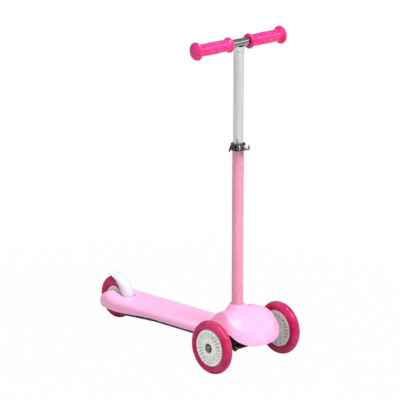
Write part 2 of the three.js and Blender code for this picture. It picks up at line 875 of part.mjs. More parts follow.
// Truck: tilted yoke for the kingpins, column socket, tongue and cover bracket in one casting
const tilted = new THREE.Group();
tilted.position.set(0, 0, frontAxleHeight);
tilted.rotation.x = kingpinTilt;
scooter.add(tilted);
tilted.updateMatrix();

const inTilt = (solid) => solidOf(geometryOf(solid).applyMatrix4(tilted.matrix));

const yokeOutline = () => {
  const outline = new THREE.Shape();
  outline.moveTo(-kingpinPlace, -yokePlateRadius);
  outline.lineTo(kingpinPlace, -yokePlateRadius);
  outline.absarc(kingpinPlace, 0, yokePlateRadius, -Math.PI / 2, Math.PI / 2, false);
  outline.lineTo(-kingpinPlace, yokePlateRadius);
  outline.absarc(-kingpinPlace, 0, yokePlateRadius, Math.PI / 2, Math.PI * 1.5, false);
  return outline;
};

const yoke = () => {
  const plate = solidOf(slab(yokeOutline(), yokePlate));
  const web = block(-yokeWebHalf, yokeWebHalf, -yokeWebDepth, yokeWebDepth, -yokeHalf, yokeHalf);
  const whole = joined([
    moved(plate, 0, 0, yokeHalfGap),
    moved(plate, 0, 0, -yokeHalf),
    web,
  ]);
  const bores = [-1, 1].map((sign) => standing(
    holeZ(kingpinRadius + clearance, -yokeHalf - overrun, yokeHalf + overrun),
    sign * kingpinPlace,
    0,
  ));
  return without(whole, bores);
};

const tongueSection = (y, half, bottom, top) => [
  vector(half, y, bottom), vector(half, y, top), vector(-half, y, top), vector(-half, y, bottom),
];

const tongue = () => {
  const tongueTopAt = (y) => deckTopAt(y) - deckWall - clearance;
  const places = [0, columnBehindAxle, deckFront, (deckFront + tongueEnd) / 2, tongueEnd];
  return lofted(places.map((y) => tongueSection(y, tongueHalf, tongueBottomAt(y), tongueTopAt(y))));
};

const columnBoltHole = () => holeX(
  columnBoltRadius + clearance,
  -socketRadius - overrun,
  socketRadius + overrun,
);

const truck = () => {
  const floor = lowerTubeFoot - clearance;
  const socket = rodZ(socketRadius, floor - socketFloor, socketTop, tubeSides);
  const bracket = block(
    -bracketHalf,
    bracketHalf,
    -bracketFront,
    columnBehindAxle,
    bracketBase,
    bracketBase + bracketThickness,
  );
  const frontGusset = finX([
    [columnBehindAxle, frontAxleHeight],
    [columnBehindAxle, bracketBase + bracketThickness / 2],
    [-bracketFront * bracketGussetShare, bracketBase + bracketThickness / 2],
    [-yokeWebDepth, frontAxleHeight + yokeWebDepth],
  ], gussetHalf);
  const rearGusset = finX([
    [columnBehindAxle, deckTopAt(columnBehindAxle) - deckWall - overrun],
    [deckFront - clearance, deckTopAt(deckFront) - deckWall - overrun],
    [columnBehindAxle + socketRadius, socketTop - overrun],
    [columnBehindAxle, socketTop - overrun],
  ], gussetHalf);
  const whole = joined([
    inTilt(yoke()),
    standing(socket, 0, columnBehindAxle),
    tongue(),
    earBlock(0),
    bracket,
    frontGusset,
    rearGusset,
  ]);
  const cutters = [
    standing(rodZ(lowerTubeRadius + clearance, floor, socketTop + overrun, tubeSides), 0, columnBehindAxle),
    moved(columnBoltHole(), 0, columnBehindAxle, columnBoltHeight),
  ];
  screwSpots.slice(0, 2).forEach(([x, y]) => {
    cutters.push(standing(holeZ(screwRadius + clearance, 0, farOff), x, y));
  });
  const coverHole = holeZ(screwRadius + clearance, bracketBase - overrun, bracketBase + overrun);
  cutters.push(standing(coverHole, 0, -coverPostAhead));
  return without(whole, cutters);
};
place('truck_housing', truck(), black);

// Knuckles, kingpins, springs and tie rod, in the tilted frame
const hornBase = knuckleAbove - hornThickness;
const armRoot = knuckleRadius + axleArmRootGap;
const armEnd = wheelPlace - bearingFace - clearance - kingpinPlace;
const axleTip = wheelPlace + bearingFace - bearingWidth * 2 - axleGrip - clearance - kingpinPlace;

const leftKnuckle = () => {
  const boss = rodZ(knuckleRadius, -knuckleBelow, knuckleAbove, knobSides);
  const arm = turnedX([
    [0, armRoot],
    [axleArmRadius, armRoot],
    [axleArmRadius, armEnd - axleArmTaper],
    [axleArmEndRadius, armEnd],
    [0, armEnd],
  ], knobSides);
  const neckHalf = axleArmRadius - axleArmRootGap;
  const neck = block(0, armRoot + overrun, -neckHalf, neckHalf, -neckHalf, knuckleAbove);
  const horn = block(-hornRadius, hornRadius, -hornReach, 0, hornBase, knuckleAbove);
  const hornEnd = moved(rodZ(hornRadius, hornBase, knuckleAbove), 0, -hornReach, 0);
  const tieHole = holeZ(tiePinRadius + clearance / 2, hornBase - overrun, knuckleAbove + overrun);
  return without(joined([boss, arm, neck, horn, hornEnd]), [
    holeZ(kingpinRadius + clearance, -knuckleBelow - overrun, knuckleAbove + overrun),
    holeX(axleRadius + clearance / 2, axleTip, armEnd + overrun),
    moved(tieHole, 0, -hornReach, 0),
  ]);
};

const kingpin = () => {
  const headSeat = yokeHalf + clearance;
  const tail = -yokeHalf - kingpinNutHeight - kingpinTail;
  return rodZ(kingpinRadius, tail, headSeat + clearance).add(
    hexHead(kingpinHeadRadius, headSeat, headSeat + kingpinHeadHeight),
  );
};

const hexNutZ = (bore, radius, height) => hexHead(radius, 0, height).subtract(
  holeZ(bore, -overrun, height + overrun),
);

const helix = (radius, wire, turns, height) => {
  const points = [];
  const steps = Math.round(turns * wireStepsPerTurn);
  for (let k = 0; k <= steps; k += 1) {
    const turn = (k / wireStepsPerTurn) * 2 * Math.PI;
    const lift = wire / 2 + (k / steps) * (height - wire);
    points.push(vector(radius * Math.cos(turn), radius * Math.sin(turn), lift));
  }
  return points;
};

const steerSpring = () => wireAlong(
  helix(steerSpringRadius, steerSpringWire, steerSpringTurns, steerSpringHeight),
  steerSpringWire / 2,
  steerSpringTurns * wireStepsPerTurn,
);

const tiePin = () => {
  const base = hornBase;
  const seat = knuckleAbove + clearance + tieRodThickness + clearance;
  return turnedZ([
    [0, base],
    [tiePinRadius, base],
    [tiePinRadius, seat],
    [tiePinHeadRadius, seat],
    [tiePinHeadRadius, seat + tiePinHeadHeight / 2],
    [tiePinHeadRadius * Math.SQRT1_2, seat + tiePinHeadHeight],
    [0, seat + tiePinHeadHeight],
  ], boltSides);
};

[['left', 1], ['right', -1]].forEach(([side, sign]) => {
  const stand = new THREE.Group();
  stand.position.x = sign * kingpinPlace;
  tilted.add(stand);
  const knuckle = sign > 0 ? leftKnuckle() : mirrored(leftKnuckle());
  place(`knuckle_${side}`, knuckle, black, stand);
  place(`kingpin_${side}`, kingpin(), steel, stand);
  const nut = hexNutZ(kingpinRadius + clearance / 2, kingpinHeadRadius, kingpinNutHeight - clearance);
  place(`kingpin_nut_${side}`, nut, steel, stand).position.z = -yokeHalf - kingpinNutHeight;
  const spring = place(`steer_spring_${side}`, steerSpring(), springSteel, stand);
  spring.position.z = knuckleAbove + clearance / 2;
  place(`tie_pin_${side}`, tiePin(), steel, stand).position.y = -hornReach;
});

const tieRod = () => {
  const neck = block(-kingpinPlace, kingpinPlace, -tieRodNeck, tieRodNeck, 0, tieRodThickness);
  const ends = [-1, 1].map((sign) => moved(
    rodZ(tieRodHalfDepth, 0, tieRodThickness, knobSides),
    sign * kingpinPlace,
    0,
    0,
  ));
  const holes = [-1, 1].map((sign) => moved(
    holeZ(tiePinRadius + clearance, -overrun, overrun),
    sign * kingpinPlace,
    0,
    0,
  ));
  return without(joined([neck, ...ends]), holes);
};
place('tie_rod', tieRod(), black, tilted).position.set(0, -hornReach, knuckleAbove + clearance);

// Nose cover: rings from the column boss over the dome and its crease down to the rim
const nosePoint = ([across, along, height]) => vector(
  across * noseHalfWidth,
  along * noseLength - noseFront,
  frontAxleHeight + height * noseHeight,
);

const noseRim = noseRimShares.map(nosePoint);
const noseCrease = noseCreaseShares.map(nosePoint);

// Rings round the column, each point in the direction of the crease's; front is 1 ahead and 0 behind
const aroundColumn = (pointAt) => noseCrease.map((point) => {
  const away = Math.atan2(point.x, columnBehindAxle - point.y);
  const [radius, height] = pointAt((1 + Math.cos(away)) / 2);
  return vector(radius * Math.sin(away), columnBehindAxle - radius * Math.cos(away), height);
});
const levelRing = (radius, height) => aroundColumn(() => [radius, height]);
const bossFoot = () => aroundColumn((ahead) => [
  THREE.MathUtils.lerp(noseBossRearRadius, noseBossFrontRadius, ahead),
  noseTop - THREE.MathUtils.lerp(noseBossRearDrop, noseBossFrontDrop, ahead),
]);

const smoothRing = (half) => {
  const middle = half.slice(1, -1);
  const other = middle.map((point) => vector(-point.x, point.y, point.z)).reverse();
  const curve = new THREE.CatmullRomCurve3([...half, ...other], true, 'centripetal');
  return Array.from({ length: noseSides }, (_, k) => curve.getPoint(k / noseSides));
};

const domeRow = (foot, [share, crownShare]) => foot.map((point, k) => {
  const there = noseCrease[k];
  const ahead = (columnBehindAxle - there.y) / (columnBehindAxle - noseCrease[0].y);
  const crown = noseCrown * crownShare * Math.max(ahead, 0);
  return point.clone().lerp(there, share).add(vector(0, -crown * share, crown));
});

const wallRow = (share) => noseCrease.map((point, k) => {
  const middle = point.clone().lerp(noseRim[k], share);
  const outward = vector(middle.x, middle.y - columnBehindAxle, 0).normalize();
  return middle.addScaledVector(outward, Math.sin(share * Math.PI) * noseWallBulge);
});

const noseRows = () => {
  const foot = bossFoot();
  return [
    levelRing(noseBossRadius, noseTop),
    foot,
    ...noseTopRowShares.map((shares) => domeRow(foot, shares)),
    noseCrease,
    ...noseWallRowShares.map(wallRow),
    noseRim,
  ].map(smoothRing);
};

// Each row moved inwards, square to the skin, by the wall
const drawnIn = (rows, wall) => rows.map((row, k) => row.map((point, i) => {
  const above = rows[Math.max(k - 1, 0)][i];
  const below = rows[Math.min(k + 1, rows.length - 1)][i];
  const before = row[(i + row.length - 1) % row.length];
  const after = row[(i + 1) % row.length];
  const down = new THREE.Vector3().subVectors(below, above);
  const around = new THREE.Vector3().subVectors(after, before);
  const outward = new THREE.Vector3().crossVectors(down, around).normalize();
  return point.clone().addScaledVector(outward, -wall);
}));

const noseCover = () => {
  const rows = noseRows();
  const inner = drawnIn(rows, noseWall).filter((_, k) => k > 0 && k !== 2 && k !== 5);
  const boreRadius = lowerTubeRadius + noseBoreGap;
  const boreTop = smoothRing(levelRing(boreRadius, noseTop));
  const boreFoot = smoothRing(levelRing(boreRadius, noseTop - noseCollarDrop));
  const skin = lofted([boreTop, ...rows, ...inner.reverse(), boreFoot], true);
  const postFoot = bracketBase + bracketThickness + clearance;
  const post = standing(rodZ(coverPostRadius, postFoot, noseTop), 0, -coverPostAhead);
  const prism = new THREE.CylinderGeometry(1, 1, noseHeight, tubeSides);
  prism.rotateX(Math.PI / 2);
  prism.scale(recessHalfWidth, recessHalfLength, 1);
  prism.rotateX(THREE.MathUtils.degToRad(recessTiltDegrees));
  prism.translate(0, recessBehindFront - noseFront, noseTop - recessDrop);
  const recess = solidOf(prism).subtract(lofted(drawnIn(rows, recessDepth)));
  const screwHole = holeZ(screwRadius + clearance / 2, bracketBase, postFoot + screwBite);
  return without(skin.add(post.intersect(lofted(rows))), [
    recess,
    deckSkin(-clearance, deckFront - clearance, 0),
    standing(screwHole, 0, -coverPostAhead),
  ]);
};
place('nose_cover', noseCover(), pinkNose);

const coverScrew = panHead(screwRadius, screwHeadRadius, screwHeadHeight, bracketThickness + screwBite);
place('cover_screw', coverScrew, steel).position.set(0, -coverPostAhead, bracketBase - clearance);

// Column: lower tube, its bolt, the clamp, the telescopic upper tube and the T-bar
const column = new THREE.Group();
column.position.y = columnBehindAxle;
scooter.add(column);

const lowerTube = () => {
  const tube = turnedZ(
    ringProfile(lowerTubeRadius - tubeWall, lowerTubeRadius, lowerTubeFoot, lowerTubeTop),
    tubeSides,
  );
  const slotFoot = lowerTubeTop - slotDrop;
  return without(tube, [
    block(-slotWidth / 2, slotWidth / 2, -lowerTubeRadius - overrun, 0, slotFoot, lowerTubeTop + overrun),
    moved(rodY(slotReliefRadius, -lowerTubeRadius - overrun, 0), 0, 0, slotFoot),
    moved(columnBoltHole(), 0, 0, columnBoltHeight),
  ]);
};
place('lower_tube', lowerTube(), pinkTube, column);

const boltSeat = socketRadius + clearance;
const columnBolt = place('column_bolt', turnedX([
  [0, -boltSeat - columnBoltHeadHeight - clearance],
  [columnBoltRadius, -boltSeat - columnBoltHeadHeight - clearance],
  [columnBoltRadius, boltSeat],
  [columnBoltHeadRadius, boltSeat],
  [columnBoltHeadRadius, boltSeat + columnBoltHeadHeight],
  [0, boltSeat + columnBoltHeadHeight],
], boltSides), steel, column);
columnBolt.position.z = columnBoltHeight;
const columnNutSolid = hexNutX(columnBoltRadius + clearance / 2, columnBoltHeadRadius, columnBoltHeadHeight);
const columnNut = place('column_nut', columnNutSolid, steel, column);
columnNut.position.set(-boltSeat - columnBoltHeadHeight, 0, columnBoltHeight);

// Clamp, turned a little to the right; its bolt runs along the group's X in front of the tube
const clamp = new THREE.Group();
clamp.position.z = clampHeight;
clamp.rotation.z = THREE.MathUtils.degToRad(-clampTurnDegrees);
column.add(clamp);

const collar = () => {
  const half = collarHeight / 2;
  const bore = lowerTubeRadius + clearance;
  const ring = turnedZ([
    [bore, -half],
    [bore + collarWall, -half],
    [bore + collarWall, half - collarLip],
    [bore + collarWall - collarLip, half],
    [upperTubeRadius + clearance, half],
    [upperTubeRadius + clearance, half - collarLip],
    [bore, half - collarLip],
    [bore, -half],
  ], tubeSides);
  const ears = [-1, 1].map((sign) => {
    const from = sign > 0 ? earSlitHalf : -earOuterHalf;
    const to = sign > 0 ? earOuterHalf : -earSlitHalf;
    const round = rodX(earRadius, from, to, knobSides);
    const root = block(from, to, 0, earReach - lowerTubeRadius - collarWall / 2, -earRadius, earRadius);
    return moved(round.add(root), 0, -earReach, earRise);
  });
  const slit = upright(-earSlitHalf, earSlitHalf, -earReach - overrun * 2, -upperTubeInner);
  const boltHole = moved(holeX(skewerRadius + clearance, -overrun, overrun), 0, -earReach, earRise);
  return without(joined([ring, ...ears]), [slit, boltHole]);
};
place('clamp_collar', collar(), black, clamp);

const clampBolt = new THREE.Group();
clampBolt.position.set(0, -earReach, earRise);
clamp.add(clampBolt);

const skewer = () => {
  const rod = rodX(skewerRadius, -camPivot, skewerTail);
  const eye = moved(rodY(camEyeRadius, -camEyeHalf, camEyeHalf), -camPivot, 0, 0);
  const pinHole = moved(holeY(camPinRadius + clearance / 2, -overrun, overrun), -camPivot, 0, 0);
  return without(rod.add(eye), [pinHole]);
};
place('clamp_skewer', skewer(), steel, clampBolt);

const washer = (radius, thickness) => turnedX(
  ringProfile(skewerRadius + clearance, radius, 0, thickness),
  knobSides,
);
const camWasher = place('clamp_cam_washer', washer(saddleWasherRadius, washerThickness), nylon, clampBolt);
camWasher.position.x = -earOuterHalf - clearance - washerThickness;
const washerSolid = washer(steelWasherRadius, washerThickness);
const steelWasher = place('clamp_steel_washer', washerSolid, chrome, clampBolt);
steelWasher.position.x = earOuterHalf + clearance;

const thumbNut = () => {
  const outline = [];
  for (let k = 0; k < thumbNutFlutes * 2; k += 1) {
    const turn = (k / thumbNutFlutes) * Math.PI;
    const radius = k % 2 ? thumbNutRadius - thumbNutFlute : thumbNutRadius;
    outline.push([radius * Math.cos(turn), radius * Math.sin(turn)]);
  }
  const body = solidOf(slab(shapeOf(outline), thumbNutLength).rotateY(Math.PI / 2));
  return body.subtract(holeX(skewerRadius + clearance, -overrun, thumbNutLength + overrun));
};
const nut = place('clamp_thumb_nut', thumbNut(), steel, clampBolt);
nut.position.x = earOuterHalf + 2 * clearance + washerThickness;

const clampLever = () => {
  const cam = rodY(camRadius, -camHalfWidth, camHalfWidth, knobSides);
  const points = leverShares.map(([along, rise]) => vector(
    -along * leverLength,
    0,
    rise > 0 ? rise * leverHeight : rise * leverDrop,
  ));
  const section = shapeOf([
    [-leverThickness / 2, -leverHalfWidth],
    [leverThickness / 2, -leverHalfWidth],
    [leverThickness / 2, leverHalfWidth],
    [-leverThickness / 2, leverHalfWidth],
  ]);
  const path = new THREE.CatmullRomCurve3(points);
  const handle = solidOf(new THREE.ExtrudeGeometry(section, { steps: boltSides, extrudePath: path }));
  const slotHalf = camEyeHalf + clearance;
  const sweep = camEyeRadius + clearance;
  const boltRoom = skewerRadius + clearance;
  return without(cam.add(handle), [
    rodY(sweep, -slotHalf, slotHalf, knobSides),
    block(-boltRoom, camRadius + overrun, -slotHalf, slotHalf, -leverHeight, boltRoom),
    holeY(camPinRadius + clearance / 2, -camHalfWidth - overrun, camHalfWidth + overrun),
  ]);
};
const lever = place('clamp_lever', clampLever(), black, clampBolt);
lever.position.x = -camPivot;
const camPin = place('clamp_cam_pin', rodY(camPinRadius, -camHalfWidth, camHalfWidth), steel, clampBolt);
camPin.position.x = -camPivot;

// Upper tube with its flared saddle under the crosswise bar tube
const upperTube = () => {
  const top = barHeight - barTubeRadius * Math.SQRT1_2;
  const saddleFoot = barHeight - barTubeRadius - saddleRise + overrun;
  const tubeTop = barHeight - clearance;
  const outer = rodZ(upperTubeRadius, upperTubeFoot, tubeTop, tubeSides);
  const rings = saddleShares.map((share) => {
    const height = THREE.MathUtils.lerp(saddleFoot, top, share);
    const spread = upperTubeRadius + saddleSpread * share * share;
    return Array.from({ length: tubeSides }, (_, k) => {
      const turn = (k / tubeSides) * 2 * Math.PI + Math.PI / tubeSides;
      return vector(spread * Math.cos(turn), upperTubeRadius * Math.sin(turn), height);
    });
  });
  const saddle = lofted(rings);
  const bore = rodZ(upperTubeInner, upperTubeFoot - overrun, tubeTop + overrun, tubeSides);
  const barBed = rodX(barTubeRadius + clearance, -barLength / 2, barLength / 2, tubeSides);
  const overTop = block(-barLength, barLength, -barLength, barLength, top, barHeight + barLength);
  const vent = solidOf(geometryOf(rodY(saddleHoleRadius, -upperTubeRadius - overrun, 0))
    .rotateZ(THREE.MathUtils.degToRad(-saddleHoleTurnDegrees))
    .translate(0, 0, barHeight - saddleHoleDrop));
  return without(outer.add(saddle), [bore, moved(barBed, 0, 0, barHeight), overTop, vent]);
};
place('upper_tube', upperTube(), silver, column);

const guide = () => turnedZ([
  [0, upperTubeFoot - guideLength],
  [upperTubeRadius, upperTubeFoot - guideLength],
  [upperTubeRadius, upperTubeFoot - clearance],
  [upperTubeInner - clearance, upperTubeFoot - clearance],
  [upperTubeInner - clearance, upperTubeFoot + guideSpigot],
  [0, upperTubeFoot + guideSpigot],
], tubeSides);
place('slide_guide', guide(), nylon, column);

const barTube = ringProfile(barTubeRadius - barTubeWall, barTubeRadius, -barLength / 2, barLength / 2);
place('bar_tube', turnedX(barTube, tubeSides), chrome, column).position.z = barHeight;

const grip = () => {
  const bore = barTubeRadius + clearance;
  const barEnd = barLength / 2 + clearance;
  const end = barEnd + gripCapThickness;
  const bevel = gripFlangeWidth / 4;
  return turnedX([
    [0, barEnd],
    [bore, barEnd],
    [bore, gripStart],
    [gripInnerFlangeRadius, gripStart + bevel],
    [gripInnerFlangeRadius, gripStart + gripFlangeWidth - bevel],
    [gripWaistRadius, gripStart + gripFlangeWidth],
    [gripBodyRadius, (gripStart + end) / 2],
    [gripWaistRadius, end - gripFlangeWidth],
    [gripOuterFlangeRadius, end - gripFlangeWidth + bevel],
    [gripOuterFlangeRadius, end - bevel],
    [gripOuterFlangeRadius - gripFlangeWidth / 2, end + gripCapDome / 2],
    [0, end + gripCapDome],
  ], tubeSides);
};
[['left', 0], ['right', Math.PI]].forEach(([side, turn]) => {
  const mesh = place(`grip_${side}`, grip(), hotPink, column);
  mesh.position.z = barHeight;
  mesh.rotation.z = turn;
});

// Foot brake: a hood over the rear wheel, hinged low in front of it; drawn about the wheel's centre
const brake = new THREE.Group();
brake.position.set(0, wheelbase, rearAxleHeight);
scooter.add(brake);

// The hood's section arches about the middle of the tyre's own round crown
const crownRadius = rearTyreRadius - tyreWidth / 2;

const archHalf = (radius, halfWidth) => {
  const reach = Math.asin(halfWidth / radius);
  return Array.from({ length: archSteps + 1 }, (_, k) => {
    const turn = (k / archSteps) * reach;
    return [radius * Math.sin(turn), crownRadius + radius * Math.cos(turn)];
  });
};

const aroundWheel = (half, share) => {
  const turn = THREE.MathUtils.degToRad(THREE.MathUtils.lerp(brakeStartDegrees, brakeTipDegrees, share));
  return mirroredOutline(half).map(([x, radius]) => vector(
    x,
    -radius * Math.cos(turn),
    radius * Math.sin(turn),
  ));
};

const hoodRing = ([share, gapShare, skirtShare]) => {
  const under = tyreWidth / 2 + gapShare * brakeGap;
  const skirt = skirtShare * rearTyreRadius;
  return aroundWheel([
    ...archHalf(under + brakeThickness, brakeHalfWidth),
    [brakeHalfWidth, skirt],
    [brakeHalfWidth - brakeThickness, skirt],
    ...archHalf(under, brakeHalfWidth - brakeThickness).reverse(),
  ], share);
};

const fender = () => {
  const hood = lofted(brakeShares.map(hoodRing));
  const barrel = rodX(hingeBarrelRadius, -hingeBarrelHalf, hingeBarrelHalf, knobSides);
  const springRoom = hingeBarrelRadius + hingeAxleGap;
  const pinY = hingeY - wheelbase;
  return without(hood.add(moved(barrel, 0, pinY, 0)), [
    moved(holeX(hingePinRadius + clearance / 2, -wellHalf, wellHalf), 0, pinY, 0),
    block(-brakeSpringHalf, brakeSpringHalf, pinY - springRoom, pinY + springRoom, -springRoom, springRoom),
  ]);
};
place('brake_fender', fender(), fenderWhite, brake);

const hingePin = rodX(hingePinRadius, -armWall - hingePinBite, armWall + hingePinBite);
place('brake_hinge_pin', hingePin, steel, brake).position.y = hingeY - wheelbase;

// Its short leg lifts the hood behind the pin, its long leg rests on the deck's wall in front
const brakeSpring = () => {
  const half = brakeSpringWire / 2;
  const width = brakeSpringHalf * 2 - brakeSpringWire - 2 * clearance;
  const lead = -THREE.MathUtils.degToRad(brakeSpringLeadDegrees);
  const coil = helix(brakeSpringRadius, 0, brakeSpringTurns, width);
  const across = coil.map((point) => vector(point.z - width / 2, point.x, point.y));
  across.forEach((point) => point.applyAxisAngle(vector(1, 0, 0), lead));
  const room = hingeBarrelRadius + hingeAxleGap - half - clearance;
  const upLeg = vector(across.at(-1).x, brakeSpringRadius, room);
  const downLeg = vector(across[0].x, wellFront + half + clearance - hingeY, -brakeSpringDrop);
  const points = [downLeg, ...across, upLeg];
  return wireAlong(points, half, points.length + wireSides);
};
place('brake_spring', brakeSpring(), springSteel, brake).position.y = hingeY - wheelbase;

// Friction plate under the hood
const brakePad = () => {
  const rows = brakeShares.filter(([share]) => share > padStartShare && share < padEndShare);
  return lofted(rows.map(([share, gapShare]) => {
    const outer = tyreWidth / 2 + gapShare * brakeGap - clearance;
    return aroundWheel([
      ...archHalf(outer, padHalfWidth),
      ...archHalf(outer - padThickness, padHalfWidth).reverse(),
    ], share);
  }));
};
place('brake_pad', brakePad(), steel, brake);

// The origin is the middle of the footprint, on the ground
scooter.position.y = -(wheelbase + rearTyreRadius - noseFront) / 2;

const assembly = new THREE.Group();
assembly.add(scooter);

export default assembly;
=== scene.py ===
import math

import bmesh
import bpy
from mathutils import Matrix, Vector


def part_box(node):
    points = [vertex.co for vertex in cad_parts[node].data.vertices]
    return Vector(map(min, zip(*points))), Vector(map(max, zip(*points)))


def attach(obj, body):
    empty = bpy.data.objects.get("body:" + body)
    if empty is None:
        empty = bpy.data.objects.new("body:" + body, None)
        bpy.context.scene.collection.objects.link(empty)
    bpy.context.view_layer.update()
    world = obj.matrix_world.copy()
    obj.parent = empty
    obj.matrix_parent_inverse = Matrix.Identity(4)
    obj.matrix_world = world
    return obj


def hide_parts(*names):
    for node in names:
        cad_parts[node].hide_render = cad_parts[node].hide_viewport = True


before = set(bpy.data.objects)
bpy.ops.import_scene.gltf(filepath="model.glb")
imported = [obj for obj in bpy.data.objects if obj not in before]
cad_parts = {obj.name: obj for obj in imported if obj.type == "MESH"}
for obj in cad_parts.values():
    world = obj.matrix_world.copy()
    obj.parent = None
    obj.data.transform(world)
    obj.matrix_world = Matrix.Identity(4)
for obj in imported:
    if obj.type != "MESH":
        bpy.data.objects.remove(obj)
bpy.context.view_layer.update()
print("frame loaded:", len(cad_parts), "nodes")

for name in ("Cube", "Light", "Camera"):
    if name in bpy.data.objects:
        bpy.data.objects.remove(bpy.data.objects[name])

# All pieces are drawn in millimetres. y starts at the front axle and z at the ground.
mm = 0.001


def middleOf(node):
    low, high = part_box(node)
    return (low + high) / 2


axleY = middleOf("front_left_tyre").y


def fromFrame(point):
    return Vector((point.x / mm, (point.y - axleY) / mm, point.z / mm))


def centreOf(node):
    return fromFrame(middleOf(node))


def boxOf(node):
    low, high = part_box(node)
    return fromFrame(low), fromFrame(high)


def toFrame(point):
    return (point[0] * mm, point[1] * mm + axleY, point[2] * mm)


def sizeOf(node):
    low, high = boxOf(node)
    return high - low


frontRadius = sizeOf("front_left_tyre").z / 2
rearRadius = sizeOf("rear_tyre").z / 2
columnY = centreOf("lower_tube").y
barHeight = centreOf("bar_tube").z
barHalf = sizeOf("bar_tube").x / 2
wheelbase = centreOf("rear_tyre").y


# The camera stands where the photograph was taken from
view = {
    "azimuth": -42.3,
    "elevation": 16.0,
    "roll": 0.1,
    "place": (-4019.7, -4265.9, 2054.8),
    "lens": 252.43,
    "sensor": 36.0,
    "sight": 60.0,
}


def addObject(name, data):
    thing = bpy.data.objects.new(name, data)
    bpy.context.scene.collection.objects.link(thing)
    return thing


def towards(azimuth, elevation):
    turn, lift = math.radians(azimuth), math.radians(elevation)
    return Vector((math.sin(turn) * math.cos(lift), -math.cos(turn) * math.cos(lift), math.sin(lift)))


def addCamera():
    turn, roll = math.radians(view["azimuth"]), math.radians(view["roll"])
    level = Vector((math.cos(turn), math.sin(turn), 0))
    back = towards(view["azimuth"], view["elevation"])
    upright = back.cross(level)
    right = level * math.cos(roll) + upright * math.sin(roll)
    up = upright * math.cos(roll) - level * math.sin(roll)
    data = bpy.data.cameras.new("studioCamera")
    data.lens = view["lens"]
    data.sensor_width = view["sensor"]
    data.clip_end = view["sight"]
    camera = addObject("studioCamera", data)
    turned = Matrix((right, up, back)).transposed().to_4x4()
    camera.matrix_world = Matrix.Translation(toFrame(view["place"])) @ turned
    bpy.context.scene.camera = camera
    bpy.context.scene.view_settings.view_transform = "Standard"


addCamera()
print("camera set")


# Node helpers
def linear(red, green, blue):
    def one(value):
        value /= 255
        return value / 12.92 if value <= 0.04045 else ((value + 0.055) / 1.055) ** 2.4

    return (one(red), one(green), one(blue), 1.0)


def feed(tree, socket, value):
    if isinstance(value, bpy.types.NodeSocket):
        tree.links.new(value, socket)
    else:
        socket.default_value = value


def addNode(tree, kind, settings=None, **inputs):
    node = tree.nodes.new(kind)
    for key, value in (settings or {}).items():
        setattr(node, key, value)
    for key, value in inputs.items():
        feed(tree, node.inputs[key.replace("_", " ")], value)
    return node


def mathNode(tree, operation, first, second=0.0):
    node = addNode(tree, "ShaderNodeMath", {"operation": operation})
    for socket, value in zip(node.inputs, (first, second)):
        feed(tree, socket, value)
    return node.outputs[0]


def times(tree, first, second):
    return mathNode(tree, "MULTIPLY", first, second)


def vectorNode(tree, operation, *vectors):
    node = addNode(tree, "ShaderNodeVectorMath", {"operation": operation})
    for socket, value in zip(node.inputs, vectors):
        feed(tree, socket, value)
    return node.outputs


def mixColour(tree, factor, first, second):
    node = addNode(tree, "ShaderNodeMix", {"data_type": "RGBA"})
    for place, value in ((0, factor), (6, first), (7, second)):
        feed(tree, node.inputs[place], value)
    return node.outputs[2]


def mixShader(tree, factor, first, second):
    node = tree.nodes.new("ShaderNodeMixShader")
    for socket, value in zip(node.inputs, (factor, first.outputs[0], second.outputs[0])):
        tree.links.new(value, socket)
    return node.outputs[0]


def ranged(tree, value, low, high, fromLow=0.0, fromHigh=1.0):
    ends = {"From_Min": fromLow, "From_Max": fromHigh, "To_Min": low, "To_Max": high}
    node = addNode(tree, "ShaderNodeMapRange", {"interpolation_type": "SMOOTHSTEP"}, Value=value, **ends)
    return node.outputs["Result"]


def noiseAt(tree, where, scale, **settings):
    return addNode(tree, "ShaderNodeTexNoise", Vector=where, Scale=scale, **settings).outputs[0]


def nodeGroup(name, inputs, outputs):
    group = bpy.data.node_groups.new(name, "ShaderNodeTree")
    for label, value in inputs.items():
        kind = "NodeSocketColor" if isinstance(value, tuple) else "NodeSocketFloat"
        group.interface.new_socket(name=label, in_out="INPUT", socket_type=kind).default_value = value
    for label in outputs:
        kind = "NodeSocketColor" if label == "Colour" else "NodeSocketFloat"
        group.interface.new_socket(name=label, in_out="OUTPUT", socket_type=kind)
    return group, group.nodes.new("NodeGroupInput").outputs, group.nodes.new("NodeGroupOutput").inputs


def placeGroup(tree, group, **inputs):
    return addNode(tree, "ShaderNodeGroup", {"node_tree": group}, **inputs).outputs


# Place in the piece, and the scale of a pattern whose size is given in millimetres
def patternOf(tree, size):
    where = tree.nodes.new("ShaderNodeTexCoord").outputs["Object"]
    return where, mathNode(tree, "DIVIDE", 1 / mm, size)


def bevelNormal(tree, samples, radius):
    return addNode(tree, "ShaderNodeBevel", {"samples": samples}, Radius=radius).outputs[0]


# Fine skin of a steel mould, its size and depth in millimetres
def makeMouldGrain():
    group, given, result = nodeGroup("mouldGrain", {"Size": 0.5, "Depth": 0.02}, ["Height", "Shade"])
    where, scale = patternOf(group, given["Size"])
    fine = noiseAt(group, where, scale, Detail=3.0, Roughness=0.55)
    wide = noiseAt(group, where, times(group, scale, 0.06), Detail=2.0)
    both = mathNode(group, "ADD", fine, times(group, wide, 1.6))
    depth = times(group, given["Depth"], mm)
    group.links.new(times(group, both, depth), result["Height"])
    group.links.new(ranged(group, wide, 0.0, 1.0, 0.3, 0.7), result["Shade"])
    return group


